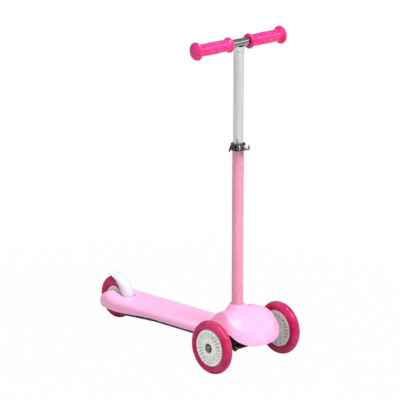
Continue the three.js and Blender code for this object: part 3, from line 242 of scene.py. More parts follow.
# Slow change of a colour over patches of a given size
def makeColourDrift():
    given = {"Base": white, "Amount": 0.05, "Patch": 60.0}
    group, given, result = nodeGroup("colourDrift", given, ["Colour"])
    cloud = noiseAt(group, *patternOf(group, given["Patch"]), Detail=3.0, Roughness=0.5)
    share = ranged(group, cloud, 0.0, 1.0, 0.32, 0.68)
    darker = mixColour(group, given["Amount"], given["Base"], black)
    lighter = mixColour(group, times(group, given["Amount"], 0.5), given["Base"], white)
    group.links.new(mixColour(group, share, darker, lighter), result["Colour"])
    return group


# Mask that is 1 along sharp edges, where handling rubs
def makeEdgeRub():
    group, given, result = nodeGroup("edgeRub", {"Reach": 0.5, "Amount": 1.0, "Patch": 6.0}, ["Mask"])
    soft = bevelNormal(group, 4, times(group, given["Reach"], mm))
    plain = group.nodes.new("ShaderNodeNewGeometry").outputs["Normal"]
    same = vectorNode(group, "DOT_PRODUCT", soft, plain)["Value"]
    edge = ranged(group, same, 1.0, 0.0, 0.72, 0.995)
    patchy = noiseAt(group, *patternOf(group, given["Patch"]), Detail=4.0)
    broken = times(group, edge, ranged(group, patchy, 0.25, 1.0, 0.35, 0.65))
    group.links.new(times(group, broken, given["Amount"]), result["Mask"])
    return group


# Fine drawn lines: the pitch is across them, and they run along one axis of the part
def makeDrawnLines():
    inputs = {"Pitch": 0.4, "Along X": 1.0, "Along Y": 1.0, "Along Z": 0.02}
    group, given, result = nodeGroup("drawnLines", inputs, ["Lines", "Shade"])
    where, scale = patternOf(group, given["Pitch"])
    spread = group.nodes.new("ShaderNodeCombineXYZ")
    for label, socket in zip(("Along X", "Along Y", "Along Z"), spread.inputs):
        group.links.new(given[label], socket)
    stretched = vectorNode(group, "MULTIPLY", where, spread.outputs[0])[0]
    fine = noiseAt(group, stretched, scale, Detail=2.0)
    wide = noiseAt(group, stretched, times(group, scale, 0.12), Detail=1.0)
    group.links.new(fine, result["Lines"])
    group.links.new(ranged(group, wide, 0.0, 1.0, 0.35, 0.65), result["Shade"])
    return group


# Sparse light scuffs and dust
def makeFineScuffs():
    group, given, result = nodeGroup("fineScuffs", {"Size": 3.0, "Share": 0.3}, ["Mask"])
    where, scale = patternOf(group, given["Size"])
    warped = noiseAt(group, where, scale, Detail=6.0, Distortion=1.4)
    speck = addNode(group, "ShaderNodeTexVoronoi", Vector=where, Scale=times(group, scale, 2.2))
    smear = ranged(group, warped, 0.0, 1.0, 0.56, 0.74)
    dots = ranged(group, speck.outputs["Distance"], 1.0, 0.0, 0.06, 0.2)
    both = mathNode(group, "MAXIMUM", smear, times(group, dots, 0.5))
    group.links.new(times(group, both, given["Share"]), result["Mask"])
    return group


white = (1.0, 1.0, 1.0, 1.0)
black = (0.0, 0.0, 0.0, 1.0)
mouldGrain = makeMouldGrain()
colourDrift = makeColourDrift()
edgeRub = makeEdgeRub()
drawnLines = makeDrawnLines()
fineScuffs = makeFineScuffs()


def startMaterial(name, values):
    material = bpy.data.materials.new(name)
    material.use_nodes = True
    colour = linear(*values["colour"])
    material.diffuse_color = colour
    tree = material.node_tree
    drifted = placeGroup(tree, colourDrift, Base=colour, Amount=values["drift"], Patch=values["patch"])["Colour"]
    scuffs = placeGroup(tree, fineScuffs, Size=values["scuff"], Share=values["scuffShare"])["Mask"]
    rub = placeGroup(tree, edgeRub, Reach=values["edge"], Amount=values["rub"])["Mask"]
    return material, tree, tree.nodes["Principled BSDF"], drifted, scuffs, rub


def addRelief(tree, shader, values, height, distance):
    corners = bevelNormal(tree, 6, values["edge"] * mm)
    bump = addNode(
        tree, "ShaderNodeBump", Height=height, Normal=corners, Strength=values["strength"], Distance=distance
    )
    tree.links.new(bump.outputs[0], shader.inputs["Normal"])


# Moulded plastic, rubber-like urethane or powder coat
def moulded(name, values):
    material, tree, shader, drifted, scuffs, rub = startMaterial(name, values)
    grain = placeGroup(tree, mouldGrain, Size=values["grain"], Depth=values["depth"])
    rubbed = mixColour(tree, rub, drifted, linear(*values["rubColour"]))
    scuffed = mixColour(tree, scuffs, rubbed, linear(*values["scuffColour"]))
    dull = mathNode(
        tree, "ADD", ranged(tree, grain["Shade"], *values["roughness"]), times(tree, scuffs, 0.25)
    )
    for label, value in (
        ("Base Color", scuffed), ("Roughness", dull), ("IOR", 1.5), ("Specular IOR Level", values["shine"]),
        ("Coat Weight", values["coat"]), ("Coat Roughness", values["coatRoughness"]),
        ("Subsurface Weight", values["subsurface"]), ("Subsurface Scale", 2 * mm),
    ):
        feed(tree, shader.inputs[label], value)
    addRelief(tree, shader, values, grain["Height"], 1.0)
    return material


# Drawn, plated or turned metal
def metal(name, values):
    material, tree, shader, drifted, scuffs, rub = startMaterial(name, values)
    alongX, alongY, alongZ = values["lines"]
    lines = placeGroup(
        tree, drawnLines, Pitch=values["pitch"], Along_X=alongX, Along_Y=alongY, Along_Z=alongZ
    )
    dark = linear(*values["dark"])
    streaked = mixColour(tree, times(tree, lines["Shade"], values["streak"]), drifted, dark)
    brighter = mixColour(tree, rub, streaked, linear(*values["bright"]))
    for label, value in (
        ("Base Color", mixColour(tree, scuffs, brighter, dark)), ("Metallic", values["metallic"]),
        ("Roughness", ranged(tree, lines["Lines"], *values["roughness"], 0.3, 0.7)),
    ):
        feed(tree, shader.inputs[label], value)
    addRelief(tree, shader, values, lines["Lines"], values["depth"] * mm)
    return material


# Colours are in 0 to 255, sizes in millimetres
plasticBase = {
    "drift": 0.04, "patch": 70.0, "grain": 0.5, "depth": 0.012, "strength": 0.6, "roughness": (0.3, 0.42),
    "scuff": 22.0, "scuffShare": 0.05, "scuffColour": (255, 236, 246),
    "edge": 0.5, "rub": 0.25, "rubColour": (255, 232, 245),
    "shine": 0.5, "coat": 0.0, "coatRoughness": 0.08, "subsurface": 0.0,
}
plastics = {
    "deckPink": {"colour": (255, 178, 220), "drift": 0.03, "roughness": (0.3, 0.44), "edge": 0.9},
    "nosePink": {"colour": (255, 163, 203), "drift": 0.02, "roughness": (0.32, 0.42), "edge": 0.8},
    "columnPink": {
        "colour": (232, 150, 181), "grain": 0.9, "depth": 0.02, "drift": 0.05, "roughness": (0.26, 0.36), "edge": 0.4,
    },
    "gripPink": {
        "colour": (240, 0, 122), "grain": 1.1, "depth": 0.02, "drift": 0.06, "patch": 25.0,
        "roughness": (0.12, 0.24), "rubColour": (255, 90, 170), "coat": 0.2,
    },
    "tyreRed": {
        "colour": (186, 4, 84), "grain": 1.4, "depth": 0.004, "drift": 0.08, "patch": 40.0,
        "roughness": (0.16, 0.26), "edge": 0.4, "scuffColour": (204, 60, 116), "rubColour": (206, 40, 110),
        "coat": 0.16, "coatRoughness": 0.04, "shine": 0.14,
    },
    "hubWhite": {
        "colour": (247, 248, 244), "patch": 30.0, "roughness": (0.34, 0.48), "subsurface": 0.32,
        "edge": 0.35, "scuffColour": (206, 200, 190), "scuffShare": 0.06, "rubColour": (244, 246, 243),
    },
    "fenderWhite": {
        "colour": (206, 212, 220), "drift": 0.03, "scuffColour": (206, 206, 220), "scuffShare": 0.12,
        "rubColour": (255, 255, 255), "subsurface": 0.06,
    },
    "blackPlastic": {
        "colour": (5, 4, 5), "drift": 0.2, "patch": 30.0, "grain": 0.6, "depth": 0.02, "roughness": (0.2, 0.32),
        "scuffColour": (34, 30, 34), "scuffShare": 0.08, "rubColour": (26, 24, 26), "rub": 0.3, "shine": 0.14,
    },
    "trayPlastic": {
        "colour": (10, 5, 10), "drift": 0.2, "patch": 30.0, "grain": 0.8, "depth": 0.02, "roughness": (0.5, 0.65),
        "edge": 0.3, "scuffColour": (60, 52, 60), "scuffShare": 0.1, "rubColour": (36, 28, 36), "rub": 0.3,
        "shine": 0.1,
    },
    "nylon": {
        "colour": (214, 208, 198), "drift": 0.06, "patch": 12.0, "roughness": (0.4, 0.55), "edge": 0.25,
        "scuffColour": (170, 160, 150),
    },
}
metalBase = {
    "metallic": 1.0, "pitch": 0.35, "lines": (1.0, 1.0, 0.02), "drift": 0.06, "patch": 30.0, "streak": 0.35,
    "edge": 0.3, "rub": 0.5, "scuff": 8.0, "scuffShare": 0.1, "roughness": (0.12, 0.26),
    "depth": 0.01, "strength": 0.5, "dark": (110, 112, 116), "bright": (236, 238, 240),
}
evenLines = (1.0, 1.0, 1.0)
metals = {
    "tubeSilver": {
        "colour": (234, 235, 236), "metallic": 0.88, "dark": (190, 191, 193), "drift": 0.02, "roughness": (0.14, 0.22),
    },
    "chrome": {
        "colour": (172, 178, 182), "lines": (0.02, 1.0, 1.0), "pitch": 1.6, "streak": 0.5,
        "dark": (120, 128, 132), "roughness": (0.05, 0.12), "depth": 0.0,
    },
    "steel": {
        "colour": (150, 150, 154), "bright": (186, 186, 190), "lines": evenLines, "pitch": 0.8,
        "roughness": (0.18, 0.34),
    },
    "bearingShield": {
        "colour": (96, 98, 78), "lines": evenLines, "pitch": 1.2, "dark": (44, 44, 34), "bright": (150, 152, 132),
        "roughness": (0.3, 0.5),
    },
    "springSteel": {
        "colour": (132, 136, 142), "lines": evenLines, "pitch": 0.5, "dark": (70, 72, 78), "roughness": (0.25, 0.4),
    },
}
looks = {name: moulded(name, {**plasticBase, **values}) for name, values in plastics.items()}
looks.update({name: metal(name, {**metalBase, **values}) for name, values in metals.items()})
print("materials made")


# Light and floor of the studio
studio = {
    # grey of the sky for the object itself: in front of it and behind it, overhead, and where each changes
    "horizon": (0.76, 0.16), "horizonFade": (-0.5, 0.5), "behind": view["azimuth"],
    "overhead": 0.5, "overheadFade": (0.1, 0.9),
    # how far the floor is white by itself near the object, and from where to where it turns white, in metres
    "floorSize": 40.0, "floorGrey": (0.5, 0.5, 0.5, 1.0), "floorLift": 0.97, "floorFade": (0.5, 1.1),
    # turn to the right of the camera, lift, distance, width, height, strength
    "lamps": {
        "keyLamp": (44.0, 64.0, 8.0, 2.2, 8.5, 4.3),
        "fillLamp": (-46.0, 34.0, 8.0, 5.0, 4.0, 0.25),
        "edgeLamp": (86.0, 28.0, 8.0, 5.0, 1.6, 0.3),
    },
}


def backdropRays(tree):
    rays = tree.nodes.new("ShaderNodeLightPath").outputs
    return mathNode(tree, "MAXIMUM", rays["Is Camera Ray"], rays["Is Transmission Ray"])


def addSky():
    world = bpy.data.worlds.new("studio")
    bpy.context.scene.world = world
    world.use_nodes = True
    tree = world.node_tree
    tree.nodes.clear()
    direction = tree.nodes.new("ShaderNodeTexCoord").outputs["Generated"]
    split = addNode(tree, "ShaderNodeSeparateXYZ", Vector=direction).outputs
    turn = math.radians(studio["behind"])
    across = times(tree, split["X"], -math.sin(turn))
    behind = mathNode(tree, "ADD", across, times(tree, split["Y"], math.cos(turn)))
    low = ranged(tree, behind, *studio["horizon"], *studio["horizonFade"])
    sky = ranged(tree, split["Z"], low, studio["overhead"], *studio["overheadFade"])
    grey = addNode(tree, "ShaderNodeBackground", Color=white, Strength=sky)
    plain = addNode(tree, "ShaderNodeBackground", Color=white, Strength=1.0)
    shown = mixShader(tree, backdropRays(tree), grey, plain)
    tree.links.new(shown, tree.nodes.new("ShaderNodeOutputWorld").inputs[0])


def addFloor():
    material = bpy.data.materials.new("floorWhite")
    material.use_nodes = True
    tree = material.node_tree
    tree.nodes.clear()
    paint = addNode(tree, "ShaderNodeBsdfDiffuse", Color=studio["floorGrey"])
    light = addNode(tree, "ShaderNodeEmission", Color=white, Strength=1.0)
    distance = vectorNode(tree, "LENGTH", tree.nodes.new("ShaderNodeTexCoord").outputs["Object"])["Value"]
    fade = ranged(tree, distance, studio["floorLift"], 1.0, *studio["floorFade"])
    shown = mixShader(tree, times(tree, fade, backdropRays(tree)), paint, light)
    tree.links.new(shown, tree.nodes.new("ShaderNodeOutputMaterial").inputs[0])
    half = studio["floorSize"] / 2
    data = bpy.data.meshes.new("studioFloor")
    data.from_pydata([(-half, -half, 0), (half, -half, 0), (half, half, 0), (-half, half, 0)], [], [(0, 1, 2, 3)])
    data.materials.append(material)
    addObject("studioFloor", data)


def addLamps():
    for name, (turn, lift, distance, width, height, strength) in studio["lamps"].items():
        lamp = bpy.data.lights.new(name, "AREA")
        lamp.shape = "RECTANGLE"
        lamp.size, lamp.size_y = width, height
        lamp.energy = strength * math.pi * distance ** 2
        panel = addObject(name, lamp)
        toLamp = towards(view["azimuth"] + turn, lift)
        panel.location = toLamp * distance + Vector((0, 0, barHeight * mm / 2))
        panel.rotation_euler = toLamp.to_track_quat("Z", "Y").to_euler()


addSky()
addFloor()
addLamps()
print("studio set")


# Mesh helpers
def meshFrom(name, points, faces, at=None):
    data = bpy.data.meshes.new(name)
    moved = [at @ Vector(point) for point in points] if at else points
    data.from_pydata([toFrame(point) for point in moved], [], faces)
    shape = bmesh.new()
    shape.from_mesh(data)
    bmesh.ops.recalc_face_normals(shape, faces=shape.faces)
    shape.to_mesh(data)
    shape.free()
    return addObject(name, data)


def skinOver(name, rows, endless=False, capped=False, at=None):
    points, rings = [], []
    for row in rows:
        rings.append(range(len(points), len(points) + len(row)))
        points += row
    pairs = list(zip(rings, rings[1:]))
    if endless:
        pairs.append((rings[-1], rings[0]))
    faces = []
    for one, two in pairs:
        count = max(len(one), len(two))
        for k in range(count):
            after = (k + 1) % count
            if len(one) == 1 and len(two) == 1:
                continue
            if len(one) == 1:
                faces.append((one[0], two[after], two[k]))
            elif len(two) == 1:
                faces.append((one[k], one[after], two[0]))
            else:
                faces.append((one[k], one[after], two[after], two[k]))
    if capped:
        faces += [tuple(reversed(rings[0])), tuple(rings[-1])]
    return meshFrom(name, points, faces, at)


# Rounds the corners of an outline. A point may bring its own radius as a third number.
def rounded(points, radius, steps=4, closed=True):
    result = []
    for k, spot in enumerate(points):
        here = Vector(spot[:2])
        size = spot[2] if len(spot) > 2 else radius
        if size == 0 or (not closed and k in (0, len(points) - 1)):
            result.append(tuple(here))
            continue
        before = Vector(points[k - 1][:2])
        after = Vector(points[(k + 1) % len(points)][:2])
        room = min(size, (before - here).length * 0.49, (after - here).length * 0.49)
        start = here + (before - here).normalized() * room
        end = here + (after - here).normalized() * room
        for step in range(steps + 1):
            share = step / steps
            result.append(tuple(start.lerp(here, share).lerp(here.lerp(end, share), share)))
    return result


def onAxis(axis, along, across, up):
    if axis == "X":
        return Vector((along, across, up))
    if axis == "Y":
        return Vector((up, along, across))
    return Vector((across, up, along))


# Turned piece: an outline of radius and place along the axis; a third number is a polygon's count of sides
def turned(name, outline, sides=64, axis="X", at=None, endless=True):
    rows = []
    for spot in outline:
        radius, along = spot[:2]
        if radius < 1e-6:
            rows.append([onAxis(axis, along, 0, 0)])
            continue
        row = []
        for k in range(sides):
            turn = (k + 0.5) / sides * 2 * math.pi
            reach = radius
            if len(spot) > 2:
                slice = 2 * math.pi / spot[2]
                reach = radius * math.cos(slice / 2) / math.cos(turn % slice - slice / 2)
            row.append(onAxis(axis, along, reach * math.cos(turn), reach * math.sin(turn)))
        rows.append(row)
    return skinOver(name, rows, endless=endless, at=at)


def rod(radius, start, end, axis="X", at=None, sides=48):
    return turned("rod", [(0, start), (radius, start), (radius, end), (0, end)], sides, axis, at, False)


def block(low, high, at=None):
    corners = ((low[0], low[1]), (high[0], low[1]), (high[0], high[1]), (low[0], high[1]))
    rows = [[Vector((x, y, z)) for x, y in corners] for z in (low[2], high[2])]
    return skinOver("block", rows, capped=True, at=at)


# Solid turned piece whose two rims are rounded
def softRod(name, radius, start, end, soft, sides, axis, at):
    outline = [(0, start, 0), (radius, start), (radius, end), (0, end, 0)]
    return turned(name, rounded(outline, soft, 3, False), sides, axis, at, False)


def shiftBy(x, y, z):
    return Matrix.Translation((x, y, z))


def carve(piece, cutters, operation="DIFFERENCE"):
    for cutter in cutters:
        step = piece.modifiers.new("carve", "BOOLEAN")
        step.operation = operation
        step.solver = "EXACT"
        step.object = cutter
    bpy.context.view_layer.update()
    result = bpy.data.meshes.new_from_object(piece.evaluated_get(bpy.context.evaluated_depsgraph_get()))
    piece.modifiers.clear()
    piece.data = result
    for cutter in cutters:
        bpy.data.objects.remove(cutter, do_unlink=True)
    return piece


# The curve that runs through given points, closed or open
def curveThrough(points, count, closed=False):
    total = len(points)
    spans = total if closed else total - 1
    result = []
    for k in range(count if closed else count + 1):
        place = k / count * spans
        span = min(int(place), spans - 1)
        share = place - span
        second, third = points[span % total], points[(span + 1) % total]
        first = points[(span - 1) % total] if closed or span > 0 else second * 2 - third
        fourth = points[(span + 2) % total] if closed or span + 2 < total else third * 2 - second
        d0, d1, d2 = (
            max(math.sqrt((b - a).length), 1e-4) for a, b in ((first, second), (second, third), (third, fourth))
        )
        leave = ((second - first) / d0 - (third - first) / (d0 + d1) + (third - second) / d1) * d1
        arrive = ((third - second) / d1 - (fourth - second) / (d1 + d2) + (fourth - third) / d2) * d1
        square, cube = share * share, share * share * share
        result.append(
            second * (2 * cube - 3 * square + 1) + leave * (cube - 2 * square + share)
            + third * (3 * square - 2 * cube) + arrive * (cube - square)
        )
    return result


# Smooth value from a table of rows, each led by its place
def smoothRow(table, place):
    last = len(table) - 1
    k = 0
    while k < last - 1 and place > table[k + 1][0]:
        k += 1
    width = table[k + 1][0] - table[k][0]
    share = min(max((place - table[k][0]) / width, 0), 1)

    def slope(i, column):
        low, high = max(i - 1, 0), min(i + 1, last)
        return (table[high][column] - table[low][column]) / (table[high][0] - table[low][0])

    square, cube = share * share, share ** 3
    return [
        table[k][c] * (2 * cube - 3 * square + 1) + slope(k, c) * width * (cube - 2 * square + share)
        + table[k + 1][c] * (3 * square - 2 * cube) + slope(k + 1, c) * width * (cube - square)
        for c in range(1, len(table[0]))
    ]


def mix(first, second, share):
    return first + (second - first) * share


def smoothStep(value, low, high):
    share = min(max((value - low) / (high - low), 0), 1)
    return share * share * (3 - 2 * share)


# Round wire along a path
def wire(name, path, radius, sides=12, at=None):
    rows = []
    normal = None
    for k, point in enumerate(path):
        ahead = path[min(k + 1, len(path) - 1)] - path[max(k - 1, 0)]
        ahead.normalize()
        if normal is None:
            normal = ahead.orthogonal().normalized()
        normal = (normal - ahead * normal.dot(ahead)).normalized()
        other = ahead.cross(normal)
        rows.append([
            point + normal * radius * math.cos(turn) + other * radius * math.sin(turn)
            for turn in (2 * math.pi * k / sides for k in range(sides))
        ])
    return skinOver(name, rows, capped=True, at=at)


# Gives a piece its looks, its soft shading and its body, and hides the nodes it stands for
def finishPiece(piece, name, look, body, replaced, angle=32):
    piece.name = name
    piece.data.name = name
    several = isinstance(look, list)
    kept = [face.material_index if several else 0 for face in piece.data.polygons]
    piece.data.materials.clear()
    for one in look if several else [look]:
        piece.data.materials.append(looks[one])
    for face, index in zip(piece.data.polygons, kept):
        face.material_index = index
    piece.data.shade_smooth()
    piece.data.set_sharp_from_angle(angle=math.radians(angle))
    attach(piece, body)
    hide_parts(*replaced)
    return piece


# Joins pieces that belong to one moulding into the first of them
def joinPieces(pieces):
    shape = bmesh.new()
    for piece in pieces:
        shape.from_mesh(piece.data)
    shape.to_mesh(pieces[0].data)
    shape.free()
    for piece in pieces[1:]:
        bpy.data.objects.remove(piece, do_unlink=True)
    return pieces[0]


# Wheels
wheelStyle = {
    "sides": 160, "frontDepth": 18.8, "rearDepth": 23.6, "crown": 12.0, "crownSteps": 28,
    "boreGap": 0.25, "seatHalf": 8.8, "seatRound": (1.0, 0.75),
    # where the side starts over the bore, its half width there, and its steps towards the crown
    "sideStart": 1.6, "sideHalf": 9.7, "sideShares": (0.1, 0.3, 0.55, 0.8),
    "parting": 0.14, "partingFoot": 0.56, "partingTop": 0.175,
}


def tyrePiece(node, name, body, depth):
    radius = sizeOf(node).z / 2
    crown, seat, parting, steps = (wheelStyle[key] for key in ("crown", "seatHalf", "parting", "crownSteps"))
    bore = radius - depth + wheelStyle["boreGap"]
    hip = radius - crown
    inset, swell = wheelStyle["seatRound"]
    side = [(bore, seat), (bore + inset, seat + swell)]
    for share in wheelStyle["sideShares"]:
        width = mix(wheelStyle["sideHalf"], crown, math.sin(share * math.pi / 2))
        side.append((mix(bore + wheelStyle["sideStart"], hip, share), width))
    arc = []
    for k in range(steps + 1):
        turn = k / steps * math.pi
        arc.append((hip + (crown - parting) * math.sin(turn), crown * math.cos(turn)))
    foot, top = wheelStyle["partingFoot"], wheelStyle["partingTop"]
    seam = [(radius - parting, foot), (radius, top), (radius, -top), (radius - parting, -foot)]
    outline = side + arc[:steps // 2] + seam + arc[steps // 2 + 1:] + [(r, -x) for r, x in reversed(side)]
    piece = turned(node + "_fine", outline, wheelStyle["sides"], "X", shiftBy(*centreOf(node)))
    return finishPiece(piece, name, "tyreRed", body, [node])


hubStyle = {
    "bore": 8.8, "seat": 11.12, "shoulder": 2.85, "rimGap": 0.02, "pocketGap": 0.3,
    "plateHalf": 9.8, "plateStart": 14.9, "rimHalf": 9.15, "innerWidth": 2.2, "outerWidth": 4.0,
    # radius and half width of the boss; distance from the rim and half width there
    "boss": [(11.12, 10.6), (11.5, 11.0), (12.8, 11.0), (13.4, 10.75), (13.7, 10.2), (14.1, 9.95), (14.9, 9.88)],
    "rim": [(1.6, None), (0.9, 9.05), (0.25, 8.6), (0.0, 7.9)],
    # distance from a pocket's edge, positive outside it, and the depth there
    "edge": [(-0.75, 7.0), (-0.22, 6.3), (0.0, 0.5), (0.16, 0.14), (0.5, 0.0)],
    "steps": (0.2, 0.4, 0.6, 0.8),
    "front": {"count": 25, "lip": 5.2, "length": 13.2},
    "rear": {"count": 15, "lip": 3.4, "length": 6.5},
}


def pocketDepth(distance):
    table = hubStyle["edge"]
    if distance <= table[0][0]:
        return table[0][1]
    for (low, deep), (high, shallow) in zip(table, table[1:]):
        if distance <= high:
            return mix(deep, shallow, (distance - low) / (high - low))
    return 0.0


def hubPiece(node, name, body, tyreDepth, radius, shape):
    rim = radius - tyreDepth - hubStyle["rimGap"]
    outer = radius - tyreDepth - hubStyle["pocketGap"] - shape["lip"]
    inner = outer - shape["length"]
    pitch = 2 * math.pi / shape["count"]
    edges = [row[0] for row in hubStyle["edge"]]

    # Each line round the pocket: its turn from the pocket's middle and its distance from the edge
    def lines(r):
        held = min(max(r, inner), outer)
        share = (held - inner) / (outer - inner)
        width = mix(hubStyle["innerWidth"], hubStyle["outerWidth"], share) / 2
        side = [(0.0, -width)] + [((width + edge) / held, edge) for edge in edges]
        return side + [(pitch / 2, pitch / 2 * held - width)] + [(pitch - turn, edge) for turn, edge in side[:0:-1]]

    bore, shoulder, start = hubStyle["bore"], hubStyle["shoulder"], hubStyle["plateStart"]
    face = [(bore, 0.0), (bore, shoulder), (hubStyle["seat"], shoulder)] + hubStyle["boss"]
    pocket = [inner - edge for edge in reversed(edges)] + [mix(inner, outer, share) for share in hubStyle["steps"]]
    face += [(r, None) for r in pocket + [outer + edge for edge in edges]]
    face += [(rim - inset, x) for inset, x in hubStyle["rim"]]
    rows = []
    for side in (1, -1):
        for r, x in face[::side]:
            plate = mix(hubStyle["plateHalf"], hubStyle["rimHalf"], (r - start) / (rim - start)) if x is None else x
            reach = max(inner - r, r - outer)
            row = []
            for k in range(shape["count"]):
                for turn, edge in lines(r):
                    deep = pocketDepth(max(reach, edge)) if x is None else 0.0
                    angle = k * pitch + turn
                    row.append(Vector((side * (plate - deep), r * math.sin(angle), r * math.cos(angle))))
            rows.append(row)
    piece = skinOver(name, rows, endless=True, at=shiftBy(*centreOf(node)))
    return finishPiece(piece, name, "hubWhite", body, [node], 26)


# Half of a bearing's outline: radius and how far it lies inside the end face
bearingStyle = {
    "outline": [(4.15, 0.0), (6.2, 0.0), (6.45, 0.75), (8.9, 0.6), (9.25, 0.0), (11.0, 0.0)],
    "shield": (6.3, 9.1), "shieldDepth": 0.9, "soft": 0.22,
}


def bearingPiece(node, name, body):
    centre = centreOf(node)
    width = sizeOf(node).x / 2
    half = bearingStyle["outline"]
    outline = [(half[0][0], -width)] + [(r, width - inset) for r, inset in half]
    outline += [(r, inset - width) for r, inset in half[:0:-1]]
    piece = turned(name, rounded(outline, bearingStyle["soft"], 2), 64, "X", shiftBy(*centre))
    low, high = bearingStyle["shield"]
    for face in piece.data.polygons:
        middle = fromFrame(face.center) - centre
        deep = abs(middle.x) > width - bearingStyle["shieldDepth"]
        face.material_index = 1 if low < math.hypot(middle.y, middle.z) < high and deep else 0
    return finishPiece(piece, name, ["steel", "bearingShield"], body, [node])


boltStyle = {
    "shaft": 3.9, "head": 6.5, "height": 4.2, "edgeHeight": 2.6, "faceRadius": 4.6, "headSoft": 1.4, "faceSoft": 0.7,
    "tip": 0.6, "key": 2.8, "keyRim": 0.35, "keyDepth": 2.4, "keyFoot": (0.5, 0.9),
}


def axleBoltPiece(node, name, body, outward):
    reach = sizeOf(node).x / 2
    shaft, head, key, tip = (boltStyle[part] for part in ("shaft", "head", "key", "tip"))
    face = reach - boltStyle["height"]
    edge = (head, face + boltStyle["edgeHeight"], boltStyle["headSoft"])
    outer = rounded(
        [(shaft, face, 0.0), (head, face), edge, (boltStyle["faceRadius"], reach, boltStyle["faceSoft"])],
        0.3, 4, False,
    )
    sides, foot = 6, reach - boltStyle["keyDepth"]
    socket = [
        (key + boltStyle["keyRim"], reach), (key, reach - boltStyle["keyRim"], sides), (key, foot, sides),
        (key * 0.5, foot - boltStyle["keyFoot"][0], sides), (0, foot - boltStyle["keyFoot"][1]),
    ]
    outline = [(0, -reach), (shaft - tip, -reach), (shaft, tip - reach)] + outer + socket
    flip = Matrix.Rotation(math.pi, 4, "Z") if outward < 0 else Matrix.Identity(4)
    piece = turned(name, outline, 96, "X", shiftBy(*centreOf(node)) @ flip, endless=False)
    return finishPiece(piece, name, "steel", body, [node])


def addWheel(node, label, body, depth, radius, shape):
    tyrePiece(node + "_tyre", label.format("Tyre"), body, depth)
    hubPiece(node + "_hub", label.format("Hub"), body, depth, radius, shape)
    for face in ("left", "right"):
        bearingPiece(node + "_bearing_" + face, label.format("Bearing") + "." + face, body)


for side, sign in (("left", 1), ("right", -1)):
    label = "front{}." + side
    addWheel("front_" + side, label, "wheel_front_" + side, wheelStyle["frontDepth"], frontRadius, hubStyle["front"])
    axleBoltPiece("front_" + side + "_axle_bolt", label.format("AxleBolt"), "knuckle_" + side, sign)
addWheel("rear", "rear{}", "wheel_rear", wheelStyle["rearDepth"], rearRadius, hubStyle["rear"])
axleBoltPiece("rear_axle_bolt", "rearAxleBolt", "chassis", 1)
print("wheels built")


# Deck
deckStyle = {
    "front": 84.0, "half": 49.0, "flatHalf": 40.5, "edgeDrop": 11.0, "tuck": 1.2, "wall": 3.0,
    "topFront": 75.4, "topRear": 59.8, "skirtFront": 18.0, "skirtRear": 27.0, "changeStart": 250.0,
    "tailStart": 395.0, "tailEnd": 474.0, "hump": 18.3, "tailDepth": 20.5, "tailFlat": 17.2, "sideShare": 0.42,
    "wellHalf": 15.7, "wellFront": 374.5, "slotFront": 382.9, "slotCorner": 13.0, "armWall": 18.7,
    "boss": 8.0, "bossLength": 6.3, "bore": 4.25, "pinBore": 2.15, "hingeY": 381.5,
    "hollowFront": 6.0, "hollowDrop": 6.0, "ribWidth": 2.0, "sideBlend": 0.12, "rows": 44, "tailRows": 36,
    # the skirt's rounded foot: inset and rise
    "foot": [(-0.04, 1.3), (0.3, 0.35), (1.1, 0.0)],
    # the arms' rounded tips: shares of width and height, and how far before the end
    "tips": [(0.985, 0.96, 0.5), (0.955, 0.8, 0.0)],
    # along the tail: half width, top, depth, how far the flat top has narrowed
    "tail": [
        (0.0, 1.0, 0.616, 0.767, 0.0), (0.19, 0.95, 0.77, 0.8, 0.35), (0.38, 0.88, 1.0, 0.88, 0.85),
        (0.52, 0.82, 1.0, 0.93, 1.0), (0.65, 0.745, 0.79, 0.98, 1.0), (0.78, 0.64, 0.49, 1.0, 1.0),
        (0.88, 0.55, 0.14, 1.0, 1.0), (0.96, 0.46, -0.36, 0.98, 1.0), (1.0, 0.395, -0.72, 0.93, 1.0),
    ],
}


def deckTopAt(y):
    return mix(deckStyle["topFront"], deckStyle["topRear"], y / wheelbase)


def deckEdgeAt(y):
    share = smoothStep(y, deckStyle["changeStart"], deckStyle["tailStart"])
    return deckTopAt(y) - mix(deckStyle["skirtFront"], deckStyle["skirtRear"], share)


def deckSection(y, half, flat, top, bottom, side, foot):
    right = [Vector((0.25 * flat, y, top)), Vector((0.8 * flat, y, top))]
    for k in range(15):
        turn = k / 14 * math.pi / 2
        right.append(Vector((flat + (half - flat) * math.sin(turn), y, side + (top - side) * math.cos(turn))))
    lower = half - deckStyle["tuck"]
    right += [Vector((mix(half, lower, share), y, mix(side, bottom, share))) for share in (0.35, 0.7)]
    right += [Vector((lower - inset, y, bottom + rise)) for inset, rise in (deckStyle["foot"] if foot else [(0, 0)])]
    right.append(Vector((0.3 * half, y, bottom)))
    left = [Vector((-point.x, point.y, point.z)) for point in reversed(right)]
    return right + left


